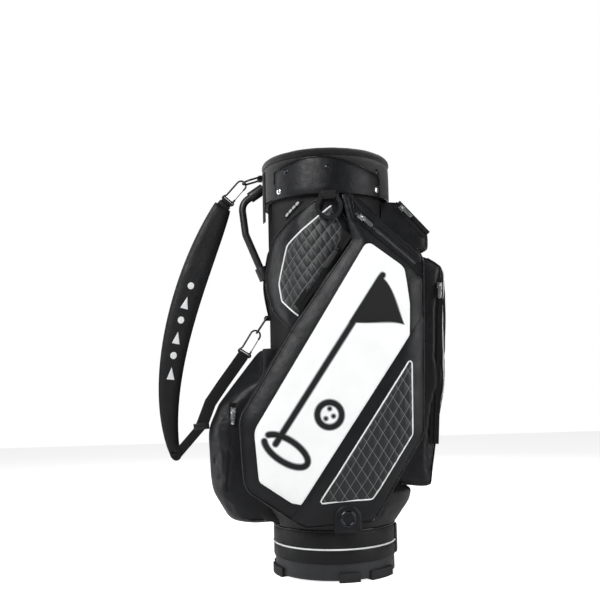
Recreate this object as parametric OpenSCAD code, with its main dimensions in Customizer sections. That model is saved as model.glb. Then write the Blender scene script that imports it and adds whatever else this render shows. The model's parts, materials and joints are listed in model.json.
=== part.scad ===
// Golf staff bag: a moulded base and a top ring held apart by a padded trunk,
// with pockets all round, a carry handle, a shoulder strap and a towel ring.
// +X is the ball pocket side, -X the strap side, -Y the right side, +Z up.
// The origin is the centre of the base, on the ground.

/* [Trunk] */
// Height of the bag from the ground to the top of the rim
bag_h = 870; // [720:5:1050]
// Outside radius of the trunk
trunk_r = 128; // [106:1:154]
// Wall of the trunk
trunk_wall = 3; // [2:0.5:5]
// Radius of each stay that keeps the trunk upright
stay_r = 4; // [3:0.5:6]

/* [Base] */
// How much narrower the base cup is than the trunk
base_inset = 3.5; // [2:0.5:6]
// Height of the base cup
base_h = 82; // [70:1:100]
// Wall of the base cup
base_wall = 3.5; // [2.5:0.5:5]
// Floor of the base cup
base_floor = 5; // [3:0.5:8]
// Gap that the feet leave under the base cup
foot_gap = 3; // [2:0.5:5]
// How far the foot lugs stand out from the base cup
foot_reach = 5.5; // [3:0.5:8]
// Height of the foot lugs
foot_h = 18; // [12:1:24]
// Height of the ground to the lower edge of the collar
collar_z = 35; // [28:1:40]
// Height of the leather collar
collar_h = 62; // [50:1:75]
// Thickness of the leather collar
collar_t = 3; // [2:0.5:5]
// Radius of the piping round the collar
piping_r = 1.7; // [1:0.1:2.5]

/* [Cuff] */
// Outside radius of the cuff beyond the trunk
cuff_out = 12; // [8:1:16]
// Height of the leather cuff band
cuff_h = 78; // [60:1:90]
// Thickness of the leather cuff band
cuff_t = 4; // [3:0.5:6]
// Wall of the moulded top ring
ring_wall = 5; // [4:0.5:7]
// Height of the padded rim
rim_h = 26; // [20:1:32]
// Width of the padded rim
rim_w = 18; // [14:1:22]

/* [Divider] */
// Width of the padded divider bars
bar_w = 12; // [8:1:16]
// Height of the padded divider bars
bar_h = 26; // [18:1:34]
// Distance of the two cross bars from the centre
bar_x = 42; // [34:1:46]
// Thickness of the full-length divider sheets
sheet_t = 1.6; // [1.2:0.1:2.4]

/* [Side pockets] */
// Depth of the side pockets outside the trunk, to their seam
side_d = 22; // [18:1:28]
// Height of the crown of a side pocket above its seam
side_crown = 18; // [12:1:24]
// Half of the gap between the backs of the two side pockets
side_back = 80; // [74:1:86]
// Depth of the leaf pockets outside the trunk
leaf_d = 15; // [11:1:18]

/* [Front pockets] */
// Depth of the ball pocket outside the trunk
ball_d = 121; // [100:1:140]
// Depth of the upper front pocket outside the trunk
front_d = 90; // [75:1:105]
// Half width of the front pockets
front_hw = 77; // [70:1:79]

/* [Spine pocket] */
// Depth of the spine pocket outside the trunk
spine_d = 132; // [115:1:140]
// Half width of the spine pocket
spine_hw = 60; // [52:1:66]

/* [Zips] */
// Width of the zip tape
tape_w = 20; // [14:1:24]
// Thickness of the zip tape
tape_t = 1; // [0.8:0.1:1.5]
// Width of the zip coil
coil_w = 5; // [4:0.5:6]
// Height of the zip coil
coil_h = 2; // [1.5:0.1:2.5]
// Length of a zip puller
puller_l = 28; // [22:1:32]
// Length of the long soft puller of a leaf pocket
leaf_puller_l = 46; // [34:1:50]
// Gap round the zip sliders and puller pins
zip_gap = 0.4; // [0.3:0.05:0.6]

/* [Fittings] */
// Radius of the handle tube
handle_r = 8; // [6:0.5:10]
// Centre radius of the towel ring
towel_r = 24; // [20:0.5:27]
// Width of the towel ring's band
towel_band = 8; // [6:0.5:9]
// Radius of the towel ring's hinge bar
towel_bar_r = 2.6; // [2:0.1:3.2]
// Bore of the umbrella eyelet
eyelet_r = 9.5; // [7:0.5:12]
// Gap round hinge bars
hinge_gap = 0.4; // [0.3:0.05:0.6]

/* [Strap] */
// Thickness of the shoulder pad
pad_t = 14; // [10:1:18]
// Width of the strap webbing
web_w = 25; // [20:1:30]
// Thickness of the strap webbing
web_t = 2.4; // [1.8:0.1:3]
// Radius of the D-ring wire
dring_wire = 2.2; // [1.8:0.1:2.6]
// Centre radius of the D-ring's bow
dring_r = 16; // [13:0.5:19]
// Radius of the snap hook wire
hook_wire = 2; // [1.6:0.1:2.4]
// Centre radius of the snap hook's bend
hook_r = 10.5; // [9:0.5:12]
// Length of the snap hook from its bend to its gate pin
hook_l = 36; // [30:1:42]

/* [Hidden] */
$fn = 96;

// Outlines are drawn for a bag 870 mm tall with a 128 mm trunk and follow both sizes.
rise = bag_h / 870;
spread = trunk_r / 128;
big = 2000;
fit = 0.3;

base_r = trunk_r - base_inset;
foot_r = base_r - base_wall;
floor_z = foot_gap + base_floor;
collar_top = collar_z + collar_h;
cuff_r = trunk_r + cuff_out;
cuff_top = bag_h - 18;
cuff_z = cuff_top - cuff_h;
ring_out = cuff_r - cuff_t;
ring_in = ring_out - ring_wall;
shoulder_z = cuff_z + 6;
rim_r = cuff_r - rim_w / 2;
bar_top = bag_h - rim_h - fit;
flare_z = collar_top + 60 * rise;

seam_y = trunk_r + side_d;
leaf_r = trunk_r + leaf_d;
slope_top = 480 * rise;

black = "#232326";
charcoal = "#3a3b3e";
leather = "#2b2b2e";

// ---------------------------------------------------------------- helpers

function unit(v) = v / norm(v);
function along(a, b, t) = a + (b - a) * t;

// Points of the arc that rounds the corner b between a and c.
function corner(a, b, c, r, steps = 7) =
    let (u = unit(a - b), v = unit(c - b), half = acos(u * v) / 2,
        centre = b + unit(u + v) * r / sin(half),
        p = b + u * r / tan(half) - centre, q = b + v * r / tan(half) - centre,
        start = atan2(p.y, p.x), turn = (atan2(q.y, q.x) - start + 540) % 360 - 180)
    [for (i = [0 : steps]) let (t = start + turn * i / steps) centre + r * [cos(t), sin(t)]];

// An outline from corners [x, z, radius], each rounded by its radius.
function rounded(c) = let (n = len(c))
    [for (i = [0 : n - 1]) each corner([c[(i + n - 1) % n].x, c[(i + n - 1) % n].y],
        [c[i].x, c[i].y], [c[(i + 1) % n].x, c[(i + 1) % n].y], c[i].z)];

function bezier(p, t) = pow(1 - t, 3) * p[0] + 3 * t * pow(1 - t, 2) * p[1]
    + 3 * t * t * (1 - t) * p[2] + pow(t, 3) * p[3];

function stretched(c) = [for (p = c) [p.x * spread, p.y * rise, p.z]];

// Extrudes a shape drawn in X and Z, from y = near to y = far.
module across(near, far) {
    translate([0, far, 0]) rotate([90, 0, 0]) linear_extrude(far - near) children();
}

module both_sides() {
    children();
    mirror([0, 1, 0]) children();
}

module far_side() {
    mirror([0, 1, 0]) children();
}

module ring(inner, outer, z0, z1) {
    rotate_extrude() translate([inner, z0]) square([outer - inner, z1 - z0]);
}

// Sets a piece at a point of a wall that faces -Y, turned with the angle's direction.
module on_wall(at, depth, angle, swing = 0) {
    rotate([0, 0, swing]) translate([at.x, -depth, at.y]) rotate([90, 0, 0])
        rotate([0, 0, angle]) children();
}

// A straight round wire from a to b, in the X-Y plane.
module wire(a, b, r) {
    d = b - a;
    translate([a.x, a.y, 0]) rotate([0, 0, atan2(d.y, d.x)]) rotate([0, 90, 0])
        cylinder(r = r, h = norm(d), $fn = 32);
}

// How much a bend takes off the legs that meet at b.
function trim(a, b, c, bend) = bend / tan(acos(unit(a - b) * unit(c - b)) / 2);

// Points of a run of [x, y, heading], with each corner of the run rounded by its third value.
function run_points(p, steps = 6) = let (last = len(p) - 1,
        flat = [for (q = p) [q.x, q.y]])
    [for (i = [0 : last]) let (a = flat[max(i - 1, 0)], b = flat[i], c = flat[min(i + 1, last)])
        each i == 0 || i == last
            ? [[b.x, b.y, atan2((c - a).y, (c - a).x)]]
            : let (bend = p[i].z, u = unit(a - b), v = unit(c - b),
                centre = b + unit(u + v) * bend / sin(acos(u * v) / 2),
                cut = trim(a, b, c, bend), from = b + u * cut - centre,
                to = b + v * cut - centre, start = atan2(from.y, from.x),
                turn = (atan2(to.y, to.x) - start + 540) % 360 - 180)
                [for (k = [0 : steps]) let (t = start + turn * k / steps)
                    [centre.x + bend * cos(t), centre.y + bend * sin(t), t + sign(turn) * 90]]];

// One smooth round tube along a run of points, in the X-Y plane.
module swept_tube(p, r, sides = 20, steps = 6) {
    run = run_points(p, steps);
    n = len(run);
    points = [for (q = run, k = [0 : sides - 1]) let (t = 360 * k / sides)
        [q.x - r * cos(t) * sin(q.z), q.y + r * cos(t) * cos(q.z), r * sin(t)]];
    walls = [for (i = [0 : n - 2], k = [0 : sides - 1]) let (m = (k + 1) % sides)
        [i * sides + k, (i + 1) * sides + k, (i + 1) * sides + m, i * sides + m]];
    start = [for (k = [0 : sides - 1]) k];
    end = [for (k = [sides - 1 : -1 : 0]) (n - 1) * sides + k];
    polyhedron(points, concat(walls, [start, end]));
}

// Stands the X-Y plane up as the X-Z plane, at y = 0.
module upright() {
    rotate([90, 0, 0]) children();
}

module trunk_core(grow = 0) {
    translate([0, 0, -big / 2]) cylinder(r = trunk_r + grow, h = big, $fn = 180);
}

// ---------------------------------------------------------------- base

// Moulded cup that the trunk stands in.
module base_cup() {
    color(charcoal) rotate_extrude($fn = 180) difference() {
        polygon([[0, foot_gap], [base_r - 2, foot_gap], [base_r, foot_gap + 2],
            [base_r, foot_gap + base_h], [0, foot_gap + base_h]]);
        translate([-1, floor_z]) square([foot_r + 1, base_h]);
    }
}

// Middle direction and width of each foot lug, in degrees from -Y towards +X.
foot_lugs = [[-79, 30], [41, 30], [161, 30], [5, 19], [125, 19], [245, 19]];
foot_in = 24;
centre_foot_r = 30;

// Rubber lugs round the edge of the base cup, wide and narrow in turn, and one at its centre.
module base_feet() {
    color("#1c1c1e") {
        for (f = foot_lugs)
            rotate([0, 0, f[0] - 90 - f[1] / 2]) rotate_extrude(angle = f[1], $fn = 180)
                difference() {
                    translate([base_r - foot_in, 0]) square([foot_in + foot_reach, foot_h]);
                    translate([0, foot_gap]) square([base_r, foot_h]);
                }
        cylinder(r = centre_foot_r, h = foot_gap);
    }
}

// Leather band sewn round the foot of the bag.
module base_collar() {
    color(leather) difference() {
        ring(base_r, base_r + collar_t, collar_z, collar_top);
        collar_groove();
    }
}

collar_piping_z = collar_z + collar_h * 0.45;

module collar_groove() {
    rotate_extrude() translate([base_r + collar_t, collar_piping_z]) circle(r = piping_r, $fn = 24);
}

module collar_piping() {
    color("white") collar_groove();
}

// ---------------------------------------------------------------- trunk

trunk_profile = [[foot_r, floor_z], [foot_r, collar_top], [trunk_r, flare_z], [trunk_r, cuff_z],
    [trunk_r - trunk_wall, cuff_z], [trunk_r - trunk_wall, flare_z],
    [foot_r - trunk_wall, collar_top], [foot_r - trunk_wall, floor_z]];

// Stiffened sheet tube, covered in coated fabric.
module trunk_shell() {
    color(black) rotate_extrude($fn = 180) polygon(trunk_profile);
}

stay_angles = [60, 180, 300];
stay_ring = foot_r - trunk_wall - stay_r - 1;

// Upright rods that hold the top ring off the base cup.
module trunk_stays() {
    color("silver") for (a = stay_angles) rotate([0, 0, a])
        translate([stay_ring, 0, floor_z]) cylinder(r = stay_r, h = cuff_z - floor_z);
}

skirt_profile = [[0, collar_top + fit], [base_r + 4, collar_top + fit], [trunk_r + 17, collar_top + 25],
    [trunk_r + 32, collar_top + 47], [trunk_r + 40, collar_top + 74 * rise],
    [trunk_r + 10, collar_top + 96 * rise], [0, collar_top + 96 * rise]];

// Padded chin between the collar and the pockets.
module lower_skirt() {
    color(leather) difference() {
        rotate_extrude($fn = 120) polygon(skirt_profile);
        rotate_extrude($fn = 180) polygon([[0, 0], [foot_r, 0], [foot_r, collar_top],
            [trunk_r, flare_z], [trunk_r, bag_h], [0, bag_h]]);
        both_sides() side_block();
        both_sides() translate([-big / 2, -big - seam_y + 4, 0]) cube([big, big, bag_h]);
        ball_block();
        spine_block();
    }
}

// ---------------------------------------------------------------- cuff and divider

// Moulded ring that seats on the trunk and carries the divider.
module top_ring() {
    color(charcoal) difference() {
        rotate_extrude($fn = 180) polygon([[trunk_r - trunk_wall, cuff_z],
            [ring_out, cuff_z], [ring_out, cuff_top], [ring_in, cuff_top],
            [ring_in, shoulder_z], [trunk_r - trunk_wall, shoulder_z]]);
        divider_plan(bar_w, bar_top - bar_h, big, ring_in + 2);
        for (a = rivet_angles) rivet_hole(a);
        handle_socket();
    }
    color(charcoal) stay_sockets();
}

// Bosses under the ring's flange that take the tops of the stays.
module stay_sockets() {
    for (a = stay_angles) rotate([0, 0, a]) difference() {
        union() {
            translate([stay_ring, 0, cuff_z - 14]) cylinder(r = stay_r + 2.5, h = 20);
            translate([stay_ring, -5, cuff_z - 14])
                cube([trunk_r - trunk_wall - stay_ring - fit, 10, 20]);
            translate([stay_ring, -5, cuff_z + fit]) cube([ring_in - stay_ring, 10, 6 - fit]);
        }
        translate([stay_ring, 0, 0]) cylinder(r = stay_r, h = cuff_z);
    }
}

module cuff_band() {
    color(leather) difference() {
        ring(ring_out, cuff_r, cuff_z, cuff_top, $fn = 180);
        for (a = rivet_angles) rivet_hole(a);
        for (a = snap_angles) snap_hole(a);
        handle_socket();
    }
}

// Velour-covered foam roll on top of the ring.
module rim_pad() {
    low = bag_h - rim_h;
    color("#151517") rotate_extrude($fn = 180) difference() {
        union() {
            translate([rim_r, bag_h - rim_w / 2]) circle(r = rim_w / 2, $fn = 48);
            translate([rim_r - rim_w / 2, low]) square([rim_w, rim_h - rim_w / 2]);
        }
        translate([ring_in, low - 1]) square([cuff_r - ring_in + 5, cuff_top - low + 1]);
    }
}

// The three bars or sheets that part the bag into six.
module divider_plan(t, z, h, reach) {
    intersection() {
        translate([0, 0, z]) cylinder(r = reach, h = h, $fn = 180);
        union() {
            translate([-big / 2, -t / 2, z]) cube([big, t, h]);
            for (s = [-1, 1]) translate([s * bar_x - t / 2, -big / 2, z]) cube([t, big, h]);
        }
    }
}

module divider_bars() {
    color("#1b1b1d") divider_plan(bar_w, bar_top - bar_h, bar_h, ring_in + 2);
}

// Full-length fabric walls under the bars.
module divider_sheets() {
    color("#2c2c30") divider_plan(sheet_t, floor_z, bar_top - bar_h - floor_z,
        foot_r - trunk_wall - 2 * stay_r - 4);
}

// ---------------------------------------------------------------- side pockets

// The flap line, where a side pocket's edge lies beside the leaf pocket.
flap_low = [-92, 497];
flap_high = [32, 672];
pocket_top = 768;
pocket_near = 13;

side_corners = stretched([[pocket_near, pocket_top, 3], [31, pocket_top, 6], [176, 642, 48],
    [163, 284, 55], [57, 118, 14], [-78, 111, 30], [-192, 188, 42], [-199, 322, 60],
    [flap_low.x, flap_low.y, 60], [flap_high.x, flap_high.y, 10]]);

// The zip's line on a side pocket: upper end, lower end.
side_zip = [[44 * spread, 724 * rise], [157 * spread, 625 * rise]];
side_zip_angle = atan2(side_zip[1].y - side_zip[0].y, side_zip[1].x - side_zip[0].x);

// Whole outline of a side pocket, from its back to its seam.
module side_block() {
    across(-seam_y, -side_back) polygon(rounded(side_corners));
}

// Crown of the pocket below its zip: a shallow double curve.
module side_crown_block() {
    half_w = 192 * spread;
    half_h = 335 * rise;
    curve_x = (half_w * half_w + side_crown * side_crown) / (2 * side_crown);
    curve_z = (half_h * half_h + side_crown * side_crown) / (2 * side_crown);
    intersection() {
        across(-seam_y - side_crown, -seam_y) polygon(rounded(side_corners));
        translate([-10 * spread, -seam_y - side_crown + curve_x, -1])
            cylinder(r = curve_x, h = bag_h, $fn = 360);
        translate([-big / 2, -seam_y - side_crown + curve_z, 430 * rise]) rotate([0, 90, 0])
            cylinder(r = curve_z, h = big, $fn = 360);
        on_wall(side_zip[0], seam_y, side_zip_angle)
            translate([-big / 2, -big - tape_w * 0.7, -1]) cube([big, big, side_crown + 2]);
    }
}

module side_pocket_body() {
    color(leather) difference() {
        union() {
            side_block();
            side_crown_block();
        }
        trunk_core();
        lower_cone();
        eyelet_block(eyelet_w / 2, side_crown);
        eyelet_bore(eyelet_r + 3, 14);
    }
}

// Keeps the pockets clear of the collar and of the flare above it.
module lower_cone() {
    translate([0, 0, -1]) cylinder(r = base_r + collar_t + 4, h = collar_top + 1 + fit, $fn = 180);
}

module right_pocket() side_pocket_body();

module left_pocket() far_side() side_pocket_body();

leaf_corners = stretched([[12, pocket_top, 2], [flap_high.x, flap_high.y, 10],
    [flap_low.x, flap_low.y, 4], [-142, 560, 36], [-138, 668, 50], [-12, pocket_top, 12]]);
leaf_swing = -10;

// The zip's line on a leaf pocket, in the frame turned by leaf_swing.
leaf_zip = [[46 * spread, 682 * rise], [-54 * spread, 543 * rise]];
leaf_zip_angle = atan2(leaf_zip[1].y - leaf_zip[0].y, leaf_zip[1].x - leaf_zip[0].x);
leaf_zip_y = leaf_r + 1;

module leaf_outline() {
    across(-seam_y - 40, -38 * spread) polygon(rounded(leaf_corners));
}

// Slim pocket that hugs the trunk beside the main pocket.
module leaf_pocket_body() {
    color(leather) difference() {
        union() {
            intersection() {
                leaf_outline();
                translate([0, 0, 400 * rise]) cylinder(r = leaf_r, h = 400 * rise, $fn = 180);
            }
            intersection() {
                leaf_outline();
                on_wall(leaf_zip[0], 0, leaf_zip_angle, leaf_swing)
                    translate([-14, -tape_w / 2 - 1, 0])
                        cube([norm(leaf_zip[1] - leaf_zip[0]) + 24, tape_w + 2, leaf_zip_y]);
            }
        }
        trunk_core();
        keeper_block(fit);
    }
}

module right_leaf_pocket() leaf_pocket_body();

module left_leaf_pocket() far_side() leaf_pocket_body();

// ---------------------------------------------------------------- front and spine pockets

ball_x = trunk_r + ball_d;
ball_corners = [[0, 656 * rise, 1], [ball_x - 52, 656 * rise, 26], [ball_x - 10, 632 * rise, 22],
    [ball_x + 2, 560 * rise, 70], [ball_x - 14, 380 * rise, 120], [ball_x - 58, 167 * rise, 10],
    [ball_x - 82, 167 * rise, 14], [0, 190 * rise, 1]];

// Bulge across a front pocket: a plan curve of the given sagitta.
module front_bulge(reach, drop) {
    r = (front_hw * front_hw + drop * drop) / (2 * drop);
    translate([reach - r, 0, 0]) cylinder(r = r, h = bag_h, $fn = 180);
}

module ball_block() {
    across(-front_hw, front_hw) polygon(rounded(ball_corners));
}

module ball_pocket() {
    color(leather) difference() {
        intersection() {
            ball_block();
            front_bulge(ball_x + 2, 18);
        }
        trunk_core();
    }
}

front_x = trunk_r + front_d;
front_top = cuff_z - fit;
front_corners = [[0, front_top, 1], [trunk_r + 19, front_top, 10], [front_x + 4, 697 * rise, 10],
    [front_x - 10, 660 * rise, 12], [0, 660 * rise, 1]];

module front_pocket() {
    color(leather) difference() {
        intersection() {
            across(-front_hw, front_hw) polygon(rounded(front_corners));
            front_bulge(front_x + 4, 14);
        }
        trunk_core();
    }
}

// The strap's swing line stands at hang_x, and the spine pocket is round about it.
hang_x = -148 * spread;
spine_x = -trunk_r - spine_d;
spine_r = hang_x - spine_x;
spine_low = collar_top + 8;
// The slope's foot stands this far below its top, clear of the strap's lower hook.
slope_drop = 15;
spine_corners = [[-40, slope_top - slope_drop / 2, 1], [6, slope_top - slope_drop, 12],
    [spine_r - 21, 351 * rise, 16],
    [spine_r, 300 * rise, 60], [spine_r - 6, 170 * rise, 60], [spine_r - 42, spine_low, 30],
    [-40, spine_low, 1]];

module spine_block() {
    intersection() {
        translate([-big, -spine_hw, 0]) cube([big, 2 * spine_hw, bag_h]);
        union() {
            translate([hang_x, 0, 0]) rotate_extrude($fn = 180) intersection() {
                polygon(rounded(spine_corners));
                square([big, big]);
            }
            translate([hang_x, -spine_hw, spine_low])
                cube([-hang_x, 2 * spine_hw, slope_top - slope_drop - spine_low]);
        }
    }
}

module spine_pocket() {
    color(leather) difference() {
        spine_block();
        trunk_core();
        lower_cone();
    }
}

// ---------------------------------------------------------------- zips

// Tape and coil of a closed zip of length l, along local X.
module zip_track(l) {
    translate([-6, -tape_w / 2, 0]) cube([l + 12, tape_w, tape_t]);
    translate([-6, -coil_w / 2, tape_t]) cube([l + 12, coil_w, coil_h]);
}

slider_l = 12;
slider_roof = tape_t + coil_h + zip_gap;
slider_top = slider_roof + 2.4;
pin_r = 1.1;
knuckle_r = pin_r + zip_gap + 1;
pin_z = slider_top + knuckle_r + fit;
cheek = 1.7;
knuckle_w = 2.6;

// Slider that straddles the coil, with two cheeks and a pin for its puller.
module zip_slider() {
    w = coil_w + 2 * zip_gap + 5;
    difference() {
        translate([-slider_l / 2, -w / 2, tape_t + zip_gap])
            cube([slider_l, w, slider_top - tape_t - zip_gap]);
        translate([-slider_l, -coil_w / 2 - zip_gap, 0])
            cube([2 * slider_l, coil_w + 2 * zip_gap, slider_roof]);
    }
    for (s = [-1, 1]) translate([-3, s * (knuckle_w / 2 + zip_gap + cheek / 2) - cheek / 2, slider_top])
        cube([6, cheek, pin_z + 2.2 - slider_top]);
    translate([0, 0, pin_z]) rotate([90, 0, 0])
        cylinder(r = pin_r, h = knuckle_w + 2 * zip_gap + 2, center = true, $fn = 24);
}

// Puller plate with a knuckle round the slider's pin.
module zip_puller(l, w = 8) {
    difference() {
        union() {
            translate([0, 0, pin_z]) rotate([90, 0, 0])
                cylinder(r = knuckle_r, h = knuckle_w, center = true, $fn = 32);
            translate([0, -knuckle_w / 2, pin_z - 1]) cube([5, knuckle_w, 2]);
            translate([4.5, -w / 2, pin_z - 1.2]) cube([l - 4.5 - w / 2, w, 2.4]);
            translate([l - w / 2, 0, pin_z - 1.2]) cylinder(r = w / 2, h = 2.4, $fn = 32);
        }
        translate([0, 0, pin_z]) rotate([90, 0, 0])
            cylinder(r = pin_r + zip_gap, h = 20, center = true, $fn = 24);
    }
}

// Where each closed zip's slider rests, down its track.
side_rest = 8;
leaf_rest = 34;
ball_rest = 10;
front_rest = 8;
spine_rest = 10;

module on_side_zip(x = 0)
    on_wall(side_zip[0], seam_y, side_zip_angle) translate([x, 0, 0]) children();

module on_leaf_zip(x = 0)
    on_wall(leaf_zip[0], leaf_zip_y, leaf_zip_angle, leaf_swing) translate([x, 0, 0]) children();

ball_zip = [[ball_x - 22, 598 * rise], [ball_x - 46, 262 * rise]];
ball_zip_angle = atan2(ball_zip[1].y - ball_zip[0].y, ball_zip[1].x - ball_zip[0].x);

module on_ball_zip(x = 0)
    on_wall(ball_zip[0], front_hw, ball_zip_angle) translate([x, 0, 0]) children();

front_zip = [[front_x - 72, front_top - 13], [front_x - 16, 700 * rise]];
front_zip_angle = atan2(front_zip[1].y - front_zip[0].y, front_zip[1].x - front_zip[0].x);

module on_front_zip(x = 0)
    on_wall(front_zip[0], front_hw, front_zip_angle) translate([x, 0, 0]) children();

spine_zip = [[hang_x - 62, 346 * rise], [hang_x - 72, 178 * rise]];
spine_zip_angle = atan2(spine_zip[1].y - spine_zip[0].y, spine_zip[1].x - spine_zip[0].x);

module on_spine_zip(x = 0)
    on_wall(spine_zip[0], spine_hw, spine_zip_angle) translate([x, 0, 0]) children();

module side_zip_tracks() {
    color("gray") both_sides() on_side_zip() zip_track(norm(side_zip[1] - side_zip[0]));
}

module leaf_zip_tracks() {
    color("#202022") both_sides() on_leaf_zip() zip_track(norm(leaf_zip[1] - leaf_zip[0]));
}

module ball_zip_track() {
    color("#202022") on_ball_zip() zip_track(norm(ball_zip[1] - ball_zip[0]));
}

module front_zip_track() {
    color("#202022") on_front_zip() zip_track(norm(front_zip[1] - front_zip[0]));
}

module spine_zip_track() {
    color("#202022") on_spine_zip() zip_track(norm(spine_zip[1] - spine_zip[0]));
}

module right_zip_slider() color("silver") on_side_zip(side_rest) zip_slider();

module right_zip_puller() color("silver") on_side_zip(side_rest) zip_puller(puller_l);

module left_zip_slider() color("silver") far_side() on_side_zip(side_rest) zip_slider();

module left_zip_puller() color("silver") far_side() on_side_zip(side_rest) zip_puller(puller_l);

module right_leaf_slider() color("silver") on_leaf_zip(leaf_rest) zip_slider();

module right_leaf_puller() color("#202022") on_leaf_zip(leaf_rest) zip_puller(leaf_puller_l, 9);

module left_leaf_slider() color("silver") far_side() on_leaf_zip(leaf_rest) zip_slider();

module left_leaf_puller() {
    color("#202022") far_side() on_leaf_zip(leaf_rest) zip_puller(leaf_puller_l, 9);
}

module ball_zip_slider() color("silver") on_ball_zip(ball_rest) zip_slider();

module ball_zip_puller() color("silver") on_ball_zip(ball_rest) zip_puller(puller_l);

module front_zip_slider() color("silver") on_front_zip(front_rest) zip_slider();

module front_zip_puller() color("silver") on_front_zip(front_rest) zip_puller(puller_l);

module spine_zip_slider() color("silver") on_spine_zip(spine_rest) zip_slider();

module spine_zip_puller() color("silver") on_spine_zip(spine_rest) zip_puller(puller_l);

// ---------------------------------------------------------------- cuff fittings

rivet_z = cuff_z + 14;
rivet_angles = [-52, 41, 128, 232];
rivet_r = 3;

// Places a piece on the cuff: the angle runs from -Y towards +X.
module on_cuff(angle, z) {
    rotate([0, 0, angle]) translate([0, 0, z]) rotate([90, 0, 0]) children();
}

module rivet_hole(a) {
    on_cuff(a, rivet_z) cylinder(r = rivet_r, h = cuff_r + 10, $fn = 32);
}

// Tubular rivets that hold the cuff to the top ring.
module cuff_rivets() {
    color("silver") for (a = rivet_angles) on_cuff(a, rivet_z) {
        translate([0, 0, ring_in - 1]) cylinder(r = rivet_r, h = cuff_r - ring_in + 1, $fn = 32);
        translate([0, 0, cuff_r]) cylinder(r1 = 7, r2 = 5, h = 2.4, $fn = 48);
    }
}

snap_z = cuff_z + 52;
snap_angles = [-43, -6, 43, 137, 186, 223];
snap_r = 2;

module snap_hole(a) {
    on_cuff(a, snap_z) translate([0, 0, ring_out]) cylinder(r = snap_r, h = 30, $fn = 24);
}

// Press studs for the rain hood.
module snap_studs() {
    color("#2a2a2a") for (a = snap_angles) on_cuff(a, snap_z) {
        translate([0, 0, ring_out]) cylinder(r = snap_r, h = cuff_t, $fn = 24);
        translate([0, 0, cuff_r]) cylinder(r = 6, h = 1.2, $fn = 48);
        translate([0, 0, cuff_r + 1.2]) cylinder(r = 3.2, h = 2, $fn = 32);
    }
}

// The ring hangs beside the side pocket's near edge.
towel_x = pocket_near * spread - towel_r - towel_band / 2;
towel_y = trunk_r + 23;
towel_bar_z = cuff_z - 8;
towel_w = 34;

module keeper_block(grow = 0) {
    translate([towel_x - towel_w / 2 + 3 - grow, -towel_y - 6 - grow, towel_bar_z - 6 - grow])
        cube([towel_w - 6 + 2 * grow, 24 + 2 * grow, 14 + grow]);
}

// Webbing loop under the cuff that holds the towel ring's bar.
module ring_keeper() {
    color(black) difference() {
        keeper_block();
        translate([towel_x, -towel_y, towel_bar_z]) rotate([0, 90, 0])
            cylinder(r = towel_bar_r + hinge_gap, h = 3 * towel_w, center = true, $fn = 48);
    }
}

// Flat ring with a straight hinge bar at its top.
module towel_ring() {
    drop = towel_r - 2;
    color("#4b4d50") translate([towel_x, -towel_y, towel_bar_z]) {
        rotate([0, 90, 0]) cylinder(r = towel_bar_r, h = towel_w, center = true, $fn = 48);
        for (s = [-1, 1]) translate([s * (towel_w / 2 + 1), 0, 0]) rotate([0, 90, 0])
            cylinder(r = towel_bar_r + 1.2, h = 4, center = true, $fn = 48);
        translate([0, 2.5, -drop - 1.5]) rotate([90, 0, 0]) difference() {
            cylinder(r = towel_r + towel_band / 2, h = 5);
            translate([0, 0, -1]) cylinder(r = towel_r - towel_band / 2, h = 7);
            translate([-towel_w / 2 + 2, 14, -1]) cube([towel_w - 4, towel_r, 7]);
        }
    }
}

// Silver woven tag sewn beside the leaf pocket, under the cuff.
module label_tag() {
    color("silver") intersection() {
        ring(trunk_r, trunk_r + 2.2, 700 * rise, cuff_z, $fn = 180);
        on_wall([0, 750 * rise], 0, 37, -40) translate([-27, -6, 0]) cube([54, 12, big]);
    }
}

// Black webbing strip that hangs from the cuff, for a glove.
module glove_tab() {
    color(black) rotate([0, 0, -79]) intersection() {
        ring(cuff_r, cuff_r + 2, cuff_z - 40, cuff_z + 70, $fn = 180);
        translate([-9, -big, 0]) cube([18, big, bag_h]);
    }
}

eyelet_at = [6 * spread, 126 * rise];
eyelet_w = 53;
eyelet_low = 104 * rise;

// Outline of the eyelet tab, arched at its top, through its thickness.
module eyelet_block(r, t = 3) {
    across(-seam_y - t, -seam_y) {
        translate(eyelet_at) circle(r = r);
        translate([eyelet_at.x - r, eyelet_low]) square([2 * r, eyelet_at.y - eyelet_low]);
    }
}

module eyelet_bore(r, depth) {
    translate([eyelet_at.x, -seam_y + depth, eyelet_at.y]) rotate([90, 0, 0])
        cylinder(r = r, h = depth + 10);
}

// Leather tab low on the right pocket, for the tip of an umbrella.
module eyelet_tab() {
    color(leather) difference() {
        eyelet_block(eyelet_w / 2);
        eyelet_bore(eyelet_r + 2, 20);
    }
}

// Rolled metal eyelet through the tab.
module eyelet_grommet() {
    color("#2f2f31") difference() {
        union() {
            eyelet_bore_wall();
            translate([eyelet_at.x, -seam_y - 3, eyelet_at.y]) rotate([90, 0, 0])
                cylinder(r = eyelet_r + 6, h = 1.6);
        }
        eyelet_bore(eyelet_r, 20);
    }
}

module eyelet_bore_wall() {
    translate([eyelet_at.x, -seam_y + 8, eyelet_at.y]) rotate([90, 0, 0])
        cylinder(r = eyelet_r + 2, h = 12);
}

// ---------------------------------------------------------------- handle

handle_bend = 30;
handle_path = [[-cuff_r + 2, cuff_z + 42, 0], [-trunk_r - 58, cuff_z + 8, handle_bend],
    [-trunk_r - 50, cuff_z - 60, handle_bend], [-trunk_r - 9, cuff_z - 160, 0]];
handle_points = [for (p = handle_path) [p.x, p.y]];

// Bent tube, from the cuff down to the trunk.
module handle_tube() {
    color("#2d2d30") upright() swept_tube(handle_path, handle_r);
}

// Hole in the cuff for the handle's upper end.
module handle_socket() {
    upright() wire(handle_points[0], handle_points[1], handle_r);
}

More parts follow.
